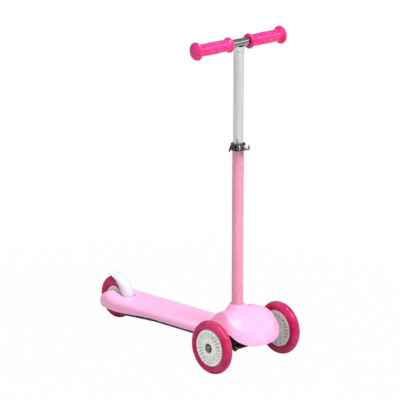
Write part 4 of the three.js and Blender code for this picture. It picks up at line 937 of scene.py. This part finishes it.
# The deck's skin, drawn in by a wall or let out when the wall is negative
def deckSkin(name, wall, front, bottomDrop, foot=False):
    start, end = deckStyle["tailStart"], deckStyle["tailEnd"]
    rows = []
    count = deckStyle["rows"]
    for k in range(count):
        y = mix(front, start, k / count)
        top = deckTopAt(y) - wall
        rows.append(deckSection(
            y, deckStyle["half"] - wall, deckStyle["flatHalf"] - wall / 2, top,
            deckEdgeAt(y) - bottomDrop, top - deckStyle["edgeDrop"], foot,
        ))
    length = end - start - max(wall, 0)
    count = deckStyle["tailRows"]
    for k in range(count + 1):
        along = 1 - (1 - k / count) ** 1.25
        halfShare, topShare, depthShare, narrow = smoothRow(deckStyle["tail"], along)
        top = rearRadius + topShare * deckStyle["hump"] - wall
        edge = rearRadius - depthShare * deckStyle["tailDepth"]
        half = halfShare * deckStyle["half"] - wall
        flat = mix(deckStyle["flatHalf"], deckStyle["tailFlat"], min(max(narrow, 0), 1)) - wall / 2
        flat = min(flat, half - abs(wall) / 2 - 0.01)
        share = smoothStep(along, 0.0, deckStyle["sideBlend"])
        side = mix(top - deckStyle["edgeDrop"], mix(top, edge, deckStyle["sideShare"]), share)
        rows.append(deckSection(start + along * length, half, flat, top, edge - bottomDrop, side, foot))
    if foot:
        last = rows.pop()
        heights = [point.z for point in last]
        middle = (min(heights) + max(heights)) / 2
        for wide, high, before in deckStyle["tips"]:
            rows.append([Vector((p.x * wide, p.y - before, middle + (p.z - middle) * high)) for p in last])
    return skinOver(name, rows, capped=True)


def addDeck():
    # how far the cutters reach past the deck
    far, behind, beside = 200.0, 520.0, 60.0
    armWall, wellHalf, wall = deckStyle["armWall"], deckStyle["wellHalf"], deckStyle["wall"]
    wellFront, slotFront, corner = deckStyle["wellFront"], deckStyle["slotFront"], deckStyle["slotCorner"]
    hollow = deckSkin("hollow", wall, deckStyle["front"] - deckStyle["hollowFront"], deckStyle["hollowDrop"])
    rib = wellFront - wall
    axle = shiftBy(0, wheelbase, rearRadius)
    reach = armWall + deckStyle["bossLength"]
    carve(hollow, [
        block((-armWall, rib, -far), (armWall, behind, far)),
        block((-beside, rib - deckStyle["ribWidth"], -far), (beside, rib, far)),
        rod(deckStyle["boss"], -reach, reach, "X", axle),
    ])
    outline = rounded(
        [(wellHalf, behind, 0.0), (wellHalf, slotFront), (-wellHalf, slotFront), (-wellHalf, behind, 0.0)], corner, 12
    )
    slot = skinOver("slot", [[Vector((x, y, z)) for x, y in outline] for z in (-far, far)], capped=True)
    well = block((-wellHalf, wellFront, -far), (wellHalf, deckStyle["tailEnd"], deckTopAt(slotFront) - wall))
    bore = rod(deckStyle["bore"], -reach - 2, reach + 2, "X", axle)
    pinBore = rod(deckStyle["pinBore"], -armWall - 6, armWall + 6, "X", shiftBy(0, deckStyle["hingeY"], rearRadius))
    deck = deckSkin("deck", 0.0, deckStyle["front"], 0.0, True)
    carve(deck, [hollow, slot, well, bore, pinBore])
    finishPiece(deck, "deck", "deckPink", "chassis", ["deck_shell"], 30)


addDeck()
print("deck built")


# Nose cover
noseStyle = {
    "front": 65.0, "length": 163.0, "half": 74.0, "height": 71.0, "wall": 2.5, "bulge": 0.7, "crown": 8.2,
    "bossRadius": 17.2, "bossFront": (19.5, 2.6), "bossRear": (26.0, 16.0), "bore": 13.15, "collarDrop": 10.7,
    "bossSoft": 0.55, "around": 264, "domeRows": 28, "wallRows": 14, "creaseSoft": 1, "footSoft": 4,
    "easeRounds": 3, "easePower": 3.0, "collarSteps": (0.0, 0.25, 0.5, 0.75),
    # a shallow oval: how deep, its half sizes, how wide its edge is outside and inside, its place and its tilt
    "recess": 0.3, "recessHalf": (36.5, 24.5), "recessEdge": (-2.0, 5.0), "recessBehind": 38.6, "recessDrop": 19.3,
    "recessTilt": 32.0, "recessReach": 30.0,
    # across, along, height from the front round to the back
    "rim": [
        (0, 0, 0), (0.338, 0.037, -0.003), (0.5, 0.058, 0.017), (0.703, 0.101, 0.099), (0.861, 0.16, 0.206),
        (0.959, 0.23, 0.345), (1, 0.319, 0.415), (0.98, 0.448, 0.437), (0.905, 0.601, 0.345),
        (0.804, 0.755, 0.155), (0.723, 0.89, -0.014), (0.682, 0.975, -0.077), (0.622, 1, 0.092),
        (0.324, 0.969, 0.124), (0, 0.954, 0.132),
    ],
    "crease": [
        (0, 0.04, 0.218), (0.243, 0.074, 0.239), (0.405, 0.098, 0.31), (0.57, 0.136, 0.448), (0.696, 0.187, 0.535),
        (0.791, 0.242, 0.606), (0.831, 0.307, 0.697), (0.776, 0.387, 0.803), (0.662, 0.48, 0.859),
        (0.581, 0.571, 0.866), (0.561, 0.65, 0.817), (0.554, 0.715, 0.725), (0.459, 0.755, 0.683),
        (0.243, 0.767, 0.683), (0, 0.77, 0.683),
    ],
    "domeCrown": [(0.0, 0.0), (0.16, 0.42), (0.33, 0.8), (0.5, 0.96), (0.68, 0.78), (0.86, 0.36), (1.0, 0.0)],
}


def nosePoint(shares):
    return Vector((
        shares[0] * noseStyle["half"],
        shares[1] * noseStyle["length"] - noseStyle["front"],
        frontRadius + shares[2] * noseStyle["height"],
    ))


# Points round the column in the directions of given ones. Radius and height may change from the rear to the front.
def aroundColumn(points, placeAt):
    result = []
    for point in points:
        away = math.atan2(point.x, columnY - point.y)
        radius, height = placeAt((1 + math.cos(away)) / 2)
        result.append(Vector((radius * math.sin(away), columnY - radius * math.cos(away), height)))
    return result


def noseRows():
    top = frontRadius + noseStyle["height"]
    rim = [nosePoint(shares) for shares in noseStyle["rim"]]
    crease = [nosePoint(shares) for shares in noseStyle["crease"]]

    def ring(half):
        other = [Vector((-point.x, point.y, point.z)) for point in reversed(half[1:-1])]
        return curveThrough(half + other, noseStyle["around"], True)

    boss = aroundColumn(crease, lambda ahead: (noseStyle["bossRadius"], top))
    rear, front = noseStyle["bossRear"], noseStyle["bossFront"]
    foot = aroundColumn(crease, lambda ahead: (mix(rear[0], front[0], ahead), top - mix(rear[1], front[1], ahead)))

    # Away from the crease the dome forgets its bends
    eased = crease
    for _ in range(noseStyle["easeRounds"]):
        before, after = (Vector((-point.x, point.y, point.z)) for point in (eased[1], eased[-2]))
        row = [before] + eased + [after]
        eased = [(row[k - 1] + row[k] * 2 + row[k + 1]) / 4 for k in range(1, len(row) - 1)]

    def dome(share):
        crown = noseStyle["crown"] * smoothRow(noseStyle["domeCrown"], share)[0]
        row = []
        for near, away, easy in zip(foot, crease, eased):
            ahead = max((columnY - away.y) / (columnY - crease[0].y), 0)
            ahead *= 2 - ahead
            target = easy.lerp(away, share ** noseStyle["easePower"])
            row.append(near.lerp(target, share) + Vector((0, -crown * ahead * share, crown * ahead)))
        return row

    def wall(share):
        row = []
        for high, low in zip(crease, rim):
            middle = high.lerp(low, share)
            outward = Vector((middle.x, middle.y - columnY, 0)).normalized()
            row.append(middle + outward * math.sin(share * math.pi) * noseStyle["bulge"])
        return row

    rows = [ring([a.lerp(b, share) for a, b in zip(boss, foot)]) for share in noseStyle["collarSteps"]]
    footAt = len(rows)
    rows += [ring(dome(k / noseStyle["domeRows"])) for k in range(noseStyle["domeRows"])]
    creaseAt = len(rows)
    rows += [ring(wall(k / noseStyle["wallRows"])) for k in range(noseStyle["wallRows"] + 1)]

    # A corner between two surfaces becomes a round of a few rows
    def soften(at, before, after):
        for k in range(noseStyle["around"]):
            start, corner, end = rows[at - before][k].copy(), rows[at][k].copy(), rows[at + after][k].copy()
            for i in range(-before + 1, after):
                share = (i + before) / (before + after)
                rows[at + i][k] = start.lerp(corner, share).lerp(corner.lerp(end, share), share)

    soften(creaseAt, noseStyle["creaseSoft"], noseStyle["creaseSoft"])
    soften(footAt, 3, noseStyle["footSoft"])
    return rows, footAt


def skinNormals(rows):
    result = []
    for k, row in enumerate(rows):
        above, below = rows[max(k - 1, 0)], rows[min(k + 1, len(rows) - 1)]
        count = len(row)
        result.append([
            (below[i] - above[i]).cross(row[(i + 1) % count] - row[i - 1]).normalized() for i in range(count)
        ])
    return result


def recessAt(point):
    tilt = math.radians(noseStyle["recessTilt"])
    y = point.y - (noseStyle["recessBehind"] - noseStyle["front"])
    z = point.z - (frontRadius + noseStyle["height"] - noseStyle["recessDrop"])
    across, along = noseStyle["recessHalf"]
    reach = math.hypot(point.x / across, (y * math.cos(tilt) + z * math.sin(tilt)) / along)
    inside = (1 - reach) * (across + along) / 2
    return noseStyle["recess"] * smoothStep(inside, *noseStyle["recessEdge"]) if z > -noseStyle["recessReach"] else 0.0


def addNose():
    rows, footAt = noseRows()
    normals = skinNormals(rows)
    wall = noseStyle["wall"]
    inner = [
        [point - normal * wall for point, normal in zip(row, side)]
        for row, side in zip(rows[footAt + 2:], normals[footAt + 2:])
    ]
    outer = [
        [point - normal * recessAt(point) for point, normal in zip(row, side)] for row, side in zip(rows, normals)
    ]
    top = frontRadius + noseStyle["height"]
    bore, boss = noseStyle["bore"], noseStyle["bossRadius"]
    collar = [
        aroundColumn(rows[0], lambda ahead: (radius, top - drop))
        for radius, drop in (
            (bore, noseStyle["collarDrop"]), (bore, 0.6), (bore + 0.2, 0.15), (bore + 0.7, 0.0),
            (boss - 1.3, 0.0), (boss - 0.4, 0.12),
        )
    ]
    outer[0] = [point - Vector((0, 0, noseStyle["bossSoft"])) for point in outer[0]]
    cover = skinOver("nose", collar + outer + inner[::-1], endless=True)
    skin = deckSkin("skin", -0.3, deckStyle["front"] - 0.3, 0.0)
    carve(cover, [skin])
    finishPiece(cover, "noseCover", "nosePink", "chassis", ["nose_cover"], 50)


addNose()
print("nose cover built")


# Column, height clamp and bar
columnStyle = {
    "outer": 12.7, "wall": 1.3, "foot": 66.0, "top": 495.5, "slot": 2.4, "slotDrop": 25.0, "relief": 2.4,
    "boltBore": 3.1, "boltHeight": 99.0, "upper": 11.1, "upperFoot": 363.5, "barRadius": 9.5, "barWall": 1.2,
    "saddleRise": 21.0, "saddleSpread": 5.5, "hole": 1.6, "holeDrop": 17.0, "holeTurn": 50.0,
}


def addLowerTube(at):
    outer, wall = columnStyle["outer"], columnStyle["wall"]
    top, foot = columnStyle["top"], columnStyle["foot"]
    outline = rounded([(outer - wall, foot), (outer - wall, top), (outer, top), (outer, foot)], 0.35, 3)
    tube = turned("tube", outline, 96, "Z", at)
    slotFoot = top - columnStyle["slotDrop"]
    half = columnStyle["slot"] / 2
    carve(tube, [
        block((-half, -20, slotFoot), (half, 0, top + 10), at),
        rod(columnStyle["relief"], -20, 0, "Y", at @ shiftBy(0, 0, slotFoot), 32),
        rod(columnStyle["boltBore"], -20, 20, "X", at @ shiftBy(0, 0, columnStyle["boltHeight"]), 32),
    ])
    finishPiece(tube, "columnTube", "columnPink", "chassis", ["lower_tube"])


def addUpperTube(at):
    upper = columnStyle["upper"]
    bed = barHeight - columnStyle["barRadius"] * math.sqrt(0.5)
    low = columnStyle["upperFoot"]
    high = barHeight - 0.3
    outline = [(0, low), (upper - 0.3, low), (upper, low + 0.4), (upper, high), (0, high)]
    stem = turned("stem", outline, 96, "Z", at, False)
    saddleFoot = barHeight - columnStyle["barRadius"] - columnStyle["saddleRise"]
    rows = []
    steps = 16
    for k in range(steps + 1):
        share = k / steps
        spread = upper + columnStyle["saddleSpread"] * share ** 2.2
        height = mix(saddleFoot, bed, share)
        rows.append([
            Vector((spread * math.cos(turn), upper * math.sin(turn), height))
            for turn in (2 * math.pi * (k + 0.5) / 96 for k in range(96))
        ])
    saddle = skinOver("saddle", rows, capped=True, at=at)
    carve(stem, [saddle], "UNION")
    facing = Matrix.Rotation(math.radians(-columnStyle["holeTurn"]), 4, "Z")
    hole = rod(columnStyle["hole"], -30, 0, "Y", at @ facing @ shiftBy(0, 0, barHeight - columnStyle["holeDrop"]), 32)
    carve(stem, [
        rod(upper - columnStyle["wall"], low - 5, barHeight + 5, "Z", at, 64),
        rod(columnStyle["barRadius"] + 0.12, -80, 80, "X", at @ shiftBy(0, 0, barHeight), 96),
        block((-100, -60, bed), (100, 60, barHeight + 60), at),
        hole,
    ])
    finishPiece(stem, "upperTube", "tubeSilver", "handlebar", ["upper_tube"])


def addBarTube(at):
    radius, wall = columnStyle["barRadius"], columnStyle["barWall"]
    outline = rounded(
        [(radius - wall, -barHalf), (radius, -barHalf), (radius, barHalf), (radius - wall, barHalf)], 0.3, 3
    )
    bar = turned("bar", outline, 96, "X", at @ shiftBy(0, 0, barHeight))
    finishPiece(bar, "barTube", "chrome", "handlebar", ["bar_tube"])


columnAt = shiftBy(0, columnY, 0)
addLowerTube(columnAt)
addUpperTube(columnAt)
addBarTube(columnAt)
print("column and bar built")


gripStyle = {
    "start": 26.6, "body": 13.6, "waist": 12.9, "innerFlange": 16.9, "outerFlange": 20.1, "flangeWidth": 6.4,
    "capThickness": 3.6, "dome": 3.2, "bore": 9.62, "studs": 12, "studRows": 7, "studRadius": 1.5, "studHeight": 0.5,
}


def addGrip(side, sign):
    start, width = gripStyle["start"], gripStyle["flangeWidth"]
    barEnd = barHalf + 0.3
    end = barEnd + gripStyle["capThickness"]
    waist, body = gripStyle["waist"], gripStyle["body"]
    inner, outer = gripStyle["innerFlange"], gripStyle["outerFlange"]
    middle = (start + end) / 2
    outline = [
        (0, barEnd, 0), (gripStyle["bore"], barEnd, 0), (gripStyle["bore"], start + 0.4, 0),
        (gripStyle["bore"] + 0.5, start, 0.3), (inner - 2.2, start, 1.6), (inner, start + 1.7, 1.6),
        (inner, start + width - 1.9, 1.5), (waist + 1.3, start + width - 0.7, 1.2), (waist, start + width + 1.6, 1.4),
        (body, middle - 12, 12), (body, middle + 12, 12),
        (waist, end - width - 1.6, 2.0), (waist + 2.2, end - width + 0.1, 1.6),
        (outer - 0.8, end - width + 1.4, 1.4), (outer, end - 3.0, 1.6), (outer - 1.4, end + 0.2, 2.0),
        (outer - 5.0, end + 1.9, 4.0), (8.0, end + gripStyle["dome"], 6.0), (0, end + gripStyle["dome"], 0),
    ]
    at = shiftBy(0, columnY, barHeight) @ (Matrix.Rotation(math.pi, 4, "Z") if sign < 0 else Matrix.Identity(4))
    grip = turned("grip", rounded(outline, 1.5, 5, False), 96, "X", at, False)
    studs = []
    first, last = start + width + 6, end - width - 6
    for row in range(gripStyle["studRows"]):
        along = mix(first, last, row / (gripStyle["studRows"] - 1))
        for k in range(gripStyle["studs"]):
            turn = (k + (row % 2) / 2) / gripStyle["studs"] * 2 * math.pi
            rise = mix(waist, body, 1 - (abs(along - middle) / (last - first) * 2) ** 2) - 0.15
            outward = Matrix.Rotation(turn, 4, "X") @ shiftBy(along, 0, rise)
            radius, height = gripStyle["studRadius"], gripStyle["studHeight"]
            dome = [(radius, 0), (radius * 0.9, height * 0.45), (radius * 0.6, height * 0.85), (0, height)]
            studs.append(turned("stud", [(0, -0.3), (radius, -0.3)] + dome, 12, "Z", at @ outward, False))
    joinPieces([grip] + studs)
    finishPiece(grip, "grip." + side, "gripPink", "handlebar", ["grip_" + side], 45)


for side, sign in (("left", 1), ("right", -1)):
    addGrip(side, sign)
print("grips built")


clampStyle = {
    "height": 15.3, "outer": 16.1, "wall": 3.1, "lip": 1.6, "bore": 12.85, "turn": 25.0, "endGap": 0.3,
    "earReach": 23.0, "earRise": 1.8, "earRadius": 6.2, "earHalf": 4.5, "slitHalf": 1.2, "skewer": 2.4,
    "camPivot": 11.5, "cam": 5.0, "camHalf": 6.0, "eye": 4.0, "eyeHalf": 2.5, "pin": 1.8,
    "leverHalf": 2.8, "leverThickness": 3.2, "leverLength": 16.0,
    "leverHeight": 11.0, "leverDrop": 8.0, "leverTaper": 0.25,
    "nutGap": 1.9, "nutRadius": 6.0, "nutFlute": 0.7, "nutLength": 11.4, "nutFlutes": 14,
    "lever": [(0, 0.1), (0.3, 0.85), (0.55, 1), (0.8, 0.35), (1, -0.72)],
    "nutBevel": [(1.2, 0.0), (0.35, 0.35), (0.0, 1.2)],
}
clampMiddle = columnStyle["top"] + clampStyle["endGap"] + clampStyle["lip"] - clampStyle["height"] / 2
clampAt = shiftBy(0, columnY, clampMiddle) @ Matrix.Rotation(math.radians(-clampStyle["turn"]), 4, "Z")
clampBolt = clampAt @ shiftBy(0, -clampStyle["earReach"], clampStyle["earRise"])


def addCollar(at, bolt):
    half = clampStyle["height"] / 2
    bore, wall, lip = clampStyle["bore"], clampStyle["wall"], clampStyle["lip"]
    outer = clampStyle["outer"]
    inner = columnStyle["upper"] + 0.2
    ring = turned("ring", rounded([
        (bore, -half), (outer, -half, 0.9), (outer, half - lip, 1.0), (outer - lip, half, 0.9), (inner, half),
        (inner, half - lip, 0.0), (bore, half - lip, 0.0),
    ], 0.4, 4), 128, "Z", at)
    ears = []
    radius = clampStyle["earRadius"]
    for sign in (-1, 1):
        near, far = sorted((sign * clampStyle["slitHalf"], sign * clampStyle["earHalf"]))
        ears.append(softRod("ear", radius, near, far, 0.7, 64, "X", bolt))
        root = clampStyle["earReach"] - columnStyle["outer"] - wall / 2
        ears.append(block((near, 0, -radius), (far, root, radius), bolt))
    carve(ring, ears, "UNION")
    slit = clampStyle["slitHalf"]
    carve(ring, [
        block((-slit, -40, -50), (slit, -9, 50), at),
        rod(clampStyle["skewer"] + 0.25, -10, 10, "X", bolt, 32),
    ])
    finishPiece(ring, "clampCollar", "blackPlastic", "chassis", ["clamp_collar"])


# The lever hooks over the cam and down, and a slot lets the bolt's eye in
def addLever(bolt):
    points = []
    for along, rise in clampStyle["lever"]:
        size = clampStyle["leverHeight"] if rise > 0 else clampStyle["leverDrop"]
        points.append(Vector((-along * clampStyle["leverLength"], 0, rise * size)))
    steps = 40
    path = curveThrough(points, steps)
    thick, wide = clampStyle["leverThickness"] / 2, clampStyle["leverHalf"]
    section = rounded([(-thick, -wide), (thick, -wide), (thick, wide), (-thick, wide)], 1.1, 4)
    rows = []
    for k, point in enumerate(path):
        ahead = (path[min(k + 1, steps)] - path[max(k - 1, 0)]).normalized()
        across = ahead.cross(Vector((0, 1, 0)))
        taper = 1 - clampStyle["leverTaper"] * smoothStep(k, steps - 6, steps)
        rows.append([point + across * a * taper + Vector((0, b * taper, 0)) for a, b in section])
    leverAt = bolt @ shiftBy(-clampStyle["camPivot"], 0, 0)
    lever = skinOver("lever", rows, capped=True, at=leverAt)
    cam, camHalf = clampStyle["cam"], clampStyle["camHalf"]
    carve(lever, [softRod("cam", cam, -camHalf, camHalf, 0.6, 64, "Y", leverAt)], "UNION")
    slotHalf, sweep, room = clampStyle["eyeHalf"] + 0.25, clampStyle["eye"] + 0.25, clampStyle["skewer"] + 0.25
    carve(lever, [
        rod(sweep, -slotHalf, slotHalf, "Y", leverAt, 48),
        block((-room, -slotHalf, -clampStyle["leverHeight"]), (cam + 6, slotHalf, room), leverAt),
        rod(clampStyle["pin"] + 0.1, -camHalf - 4, camHalf + 4, "Y", leverAt, 32),
    ])
    finishPiece(lever, "clampLever", "blackPlastic", "clamp_lever", ["clamp_lever"])


def addWashers(bolt):
    edge = clampStyle["earHalf"]
    for node, name, radius, start, look, slotName in (
        ("clamp_cam_washer", "camWasher", 6.0, -edge - 1.6, "nylon", "nylon"),
        ("clamp_steel_washer", "steelWasher", 6.6, edge + 0.3, "chrome", "chrome"),
    ):
        hole = clampStyle["skewer"] + 0.2
        outline = rounded([(hole, start), (radius, start), (radius, start + 1.3), (hole, start + 1.3)], 0.35, 3)
        finishPiece(turned(name, outline, 64, "X", bolt), name, look, "chassis", [node])


# Thumb nut with soft flutes and bevelled ends
def addThumbNut(bolt):
    start = clampStyle["earHalf"] + clampStyle["nutGap"]
    length, flutes = clampStyle["nutLength"], clampStyle["nutFlutes"]
    rows = []
    hole = clampStyle["skewer"] + 0.2
    turns = [2 * math.pi * k / (flutes * 12) for k in range(flutes * 12)]
    bevel = clampStyle["nutBevel"]
    for inset, along in bevel + [(inset, length - along) for inset, along in reversed(bevel)]:
        row = []
        for turn in turns:
            dip = clampStyle["nutFlute"] * (0.5 - 0.5 * math.cos(turn * flutes)) ** 1.6
            radius = clampStyle["nutRadius"] - inset - dip * (1 if inset < 1 else 0)
            row.append(Vector((start + along, radius * math.cos(turn), radius * math.sin(turn))))
        rows.append(row)
    for along in (length, 0.0):
        rows.append([Vector((start + along, hole * math.cos(turn), hole * math.sin(turn))) for turn in turns])
    nut = skinOver("nut", rows, endless=True, at=bolt)
    finishPiece(nut, "thumbNut", "steel", "clamp_nut", ["clamp_thumb_nut"])


addCollar(clampAt, clampBolt)
addLever(clampBolt)
addWashers(clampBolt)
addThumbNut(clampBolt)
print("clamp built")


# Foot brake over the rear wheel
brakeStyle = {
    "gap": 10.5, "thickness": 1.8, "half": 14.3, "start": 1.0, "tip": 101.0, "crown": 38.0, "tyreHalf": 12.0,
    "barrel": 3.5, "barrelHalf": 12.0, "pin": 2.15, "springHalf": 5.0, "springRoom": 4.5, "steps": 60,
    # along the arc: gap over the tyre, reach of the skirts
    "rows": [
        (0, 0.095, 0.8), (0.13, 0.12, 0.76), (0.27, 0.16, 0.68), (0.41, 0.21, 0.706), (0.56, 0.25, 0.776),
        (0.69, 0.33, 0.85), (0.81, 0.43, 0.93), (0.91, 0.57, 1.006), (1, 1, 1.1),
    ],
}


def archOver(radius, half, steps):
    reach = math.asin(half / radius)
    return [
        (radius * math.sin(k / steps * reach), brakeStyle["crown"] + radius * math.cos(k / steps * reach))
        for k in range(steps + 1)
    ]


def addBrake():
    thick, half = brakeStyle["thickness"], brakeStyle["half"]
    rows = []
    for k in range(brakeStyle["steps"] + 1):
        share = k / brakeStyle["steps"]
        gap, reach = smoothRow(brakeStyle["rows"], share)
        under = brakeStyle["tyreHalf"] + gap * brakeStyle["gap"]
        skirt = reach * rearRadius
        outer = archOver(under + thick, half, 14)
        inner = archOver(under, half - thick, 12)[::-1]
        side = [
            (half, mix(outer[-1][1], skirt, 0.5)), (half, skirt + 0.5), (half - 0.5, skirt),
            (half - thick + 0.4, skirt), (half - thick, skirt + 0.4),
        ]
        # the skin is one closed strip, so its inner half comes back below the outer
        loop = outer + side + inner
        turn = math.radians(mix(brakeStyle["start"], brakeStyle["tip"], share))
        full = loop + [(-x, r) for x, r in reversed(loop) if x > 1e-6]
        rows.append([Vector((x, -r * math.cos(turn), r * math.sin(turn))) for x, r in full])
    at = shiftBy(0, wheelbase, rearRadius)
    hood = skinOver("hood", rows, capped=True, at=at)
    barrelAt = at @ shiftBy(0, deckStyle["hingeY"] - wheelbase, 0)
    edge = brakeStyle["barrelHalf"]
    carve(hood, [softRod("barrel", brakeStyle["barrel"], -edge, edge, 0.4, 48, "X", barrelAt)], "UNION")
    room, springHalf = brakeStyle["springRoom"], brakeStyle["springHalf"]
    carve(hood, [
        rod(brakeStyle["pin"], -20, 20, "X", barrelAt, 32),
        block((-springHalf, -room, -room), (springHalf, room, room), barrelAt),
    ])
    finishPiece(hood, "brakeFender", "fenderWhite", "brake", ["brake_fender"], 40)


addBrake()
print("foot brake built")


# Springs, drawn as round wire
springStyle = {"radius": 9.0, "wire": 2.0, "turns": 3.0, "height": 6.7, "foot": 3.15, "place": 48.0, "tilt": 40.0}


def addSprings():
    tilt = shiftBy(0, 0, frontRadius) @ Matrix.Rotation(math.radians(springStyle["tilt"]), 4, "X")
    thick = springStyle["wire"]
    perTurn = 32
    steps = int(springStyle["turns"] * perTurn)
    for side, sign in (("left", 1), ("right", -1)):
        path = []
        for k in range(steps + 1):
            turn = k / perTurn * 2 * math.pi
            lift = thick / 2 + k / steps * (springStyle["height"] - thick)
            path.append(Vector((
                sign * springStyle["place"] + springStyle["radius"] * math.cos(turn),
                springStyle["radius"] * math.sin(turn),
                springStyle["foot"] + lift,
            )))
        coil = wire("coil", path, thick / 2 * 0.98, 14, tilt)
        node = "steer_spring_" + side
        finishPiece(coil, "steerSpring." + side, "springSteel", "chassis", [node], 60)


addSprings()
print("springs built")


# Carried-over nodes: welded, softly bevelled and shaded by modifiers alone. Angles are in degrees.
softStyle = {"smoothUpTo": 46.0, "flatUpTo": 0.4, "bevelFrom": 48.0, "weldWithin": 0.002}


def makeSoftShading():
    group = bpy.data.node_groups.new("softShading", "GeometryNodeTree")
    group.interface.new_socket(name="Geometry", in_out="INPUT", socket_type="NodeSocketGeometry")
    group.interface.new_socket(name="Geometry", in_out="OUTPUT", socket_type="NodeSocketGeometry")
    given = group.nodes.new("NodeGroupInput").outputs[0]
    faces = group.nodes.new("GeometryNodeSetShadeSmooth")
    faces.domain = "FACE"
    edges = group.nodes.new("GeometryNodeSetShadeSmooth")
    edges.domain = "EDGE"
    angle = group.nodes.new("GeometryNodeInputMeshEdgeAngle")
    sharp = group.nodes.new("FunctionNodeCompare")
    sharp.operation = "GREATER_THAN"
    sharp.inputs[1].default_value = math.radians(softStyle["smoothUpTo"])
    group.links.new(given, faces.inputs["Geometry"])
    group.links.new(faces.outputs[0], edges.inputs["Geometry"])
    group.links.new(angle.outputs["Unsigned Angle"], sharp.inputs[0])
    group.links.new(sharp.outputs[0], edges.inputs["Selection"])
    edges.inputs["Shade Smooth"].default_value = False
    group.links.new(edges.outputs[0], group.nodes.new("NodeGroupOutput").inputs[0])
    return group


softShading = makeSoftShading()
# Look, width of the bevel in millimetres, nodes
carriedNodes = [
    ("blackPlastic", 0.7, ["truck_housing"]),
    ("blackPlastic", 0.5, ["knuckle_left", "knuckle_right", "tie_rod"]),
    ("trayPlastic", 0.4, ["under_tray"]),
    ("steel", 0.4, ["kingpin_nut_left", "kingpin_nut_right", "rear_axle_nut"]),
    ("steel", 0.3, ["kingpin_left", "kingpin_right", "column_bolt", "column_nut"]),
    ("steel", 0.25, ["tie_pin_left", "tie_pin_right"]),
    ("steel", 0.2, [
        "cover_screw", "tray_screw_1", "tray_screw_2", "tray_screw_3", "tray_screw_4", "front_left_spacer",
        "front_right_spacer", "rear_spacer", "rear_arm_spacer_left", "rear_arm_spacer_right", "clamp_skewer",
        "clamp_cam_pin", "brake_hinge_pin", "brake_pad",
    ]),
    ("nylon", 0.2, ["slide_guide"]),
    ("springSteel", 0.1, ["brake_spring"]),
]


def dressNode(node, look, bevel):
    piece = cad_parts[node]
    piece.data.materials.clear()
    piece.data.materials.append(looks[look])
    weld = piece.modifiers.new("weld", "WELD")
    weld.merge_threshold = softStyle["weldWithin"] * mm
    flat = piece.modifiers.new("flat", "DECIMATE")
    flat.decimate_type = "DISSOLVE"
    flat.angle_limit = math.radians(softStyle["flatUpTo"])
    soft = piece.modifiers.new("soft", "BEVEL")
    soft.width = bevel * mm
    soft.segments = 2
    soft.limit_method = "ANGLE"
    soft.angle_limit = math.radians(softStyle["bevelFrom"])
    shade = piece.modifiers.new("shade", "NODES")
    shade.node_group = softShading


for look, bevel, nodes in carriedNodes:
    for node in nodes:
        dressNode(node, look, bevel)
print("carried-over nodes dressed:", sum(len(nodes) for look, bevel, nodes in carriedNodes))
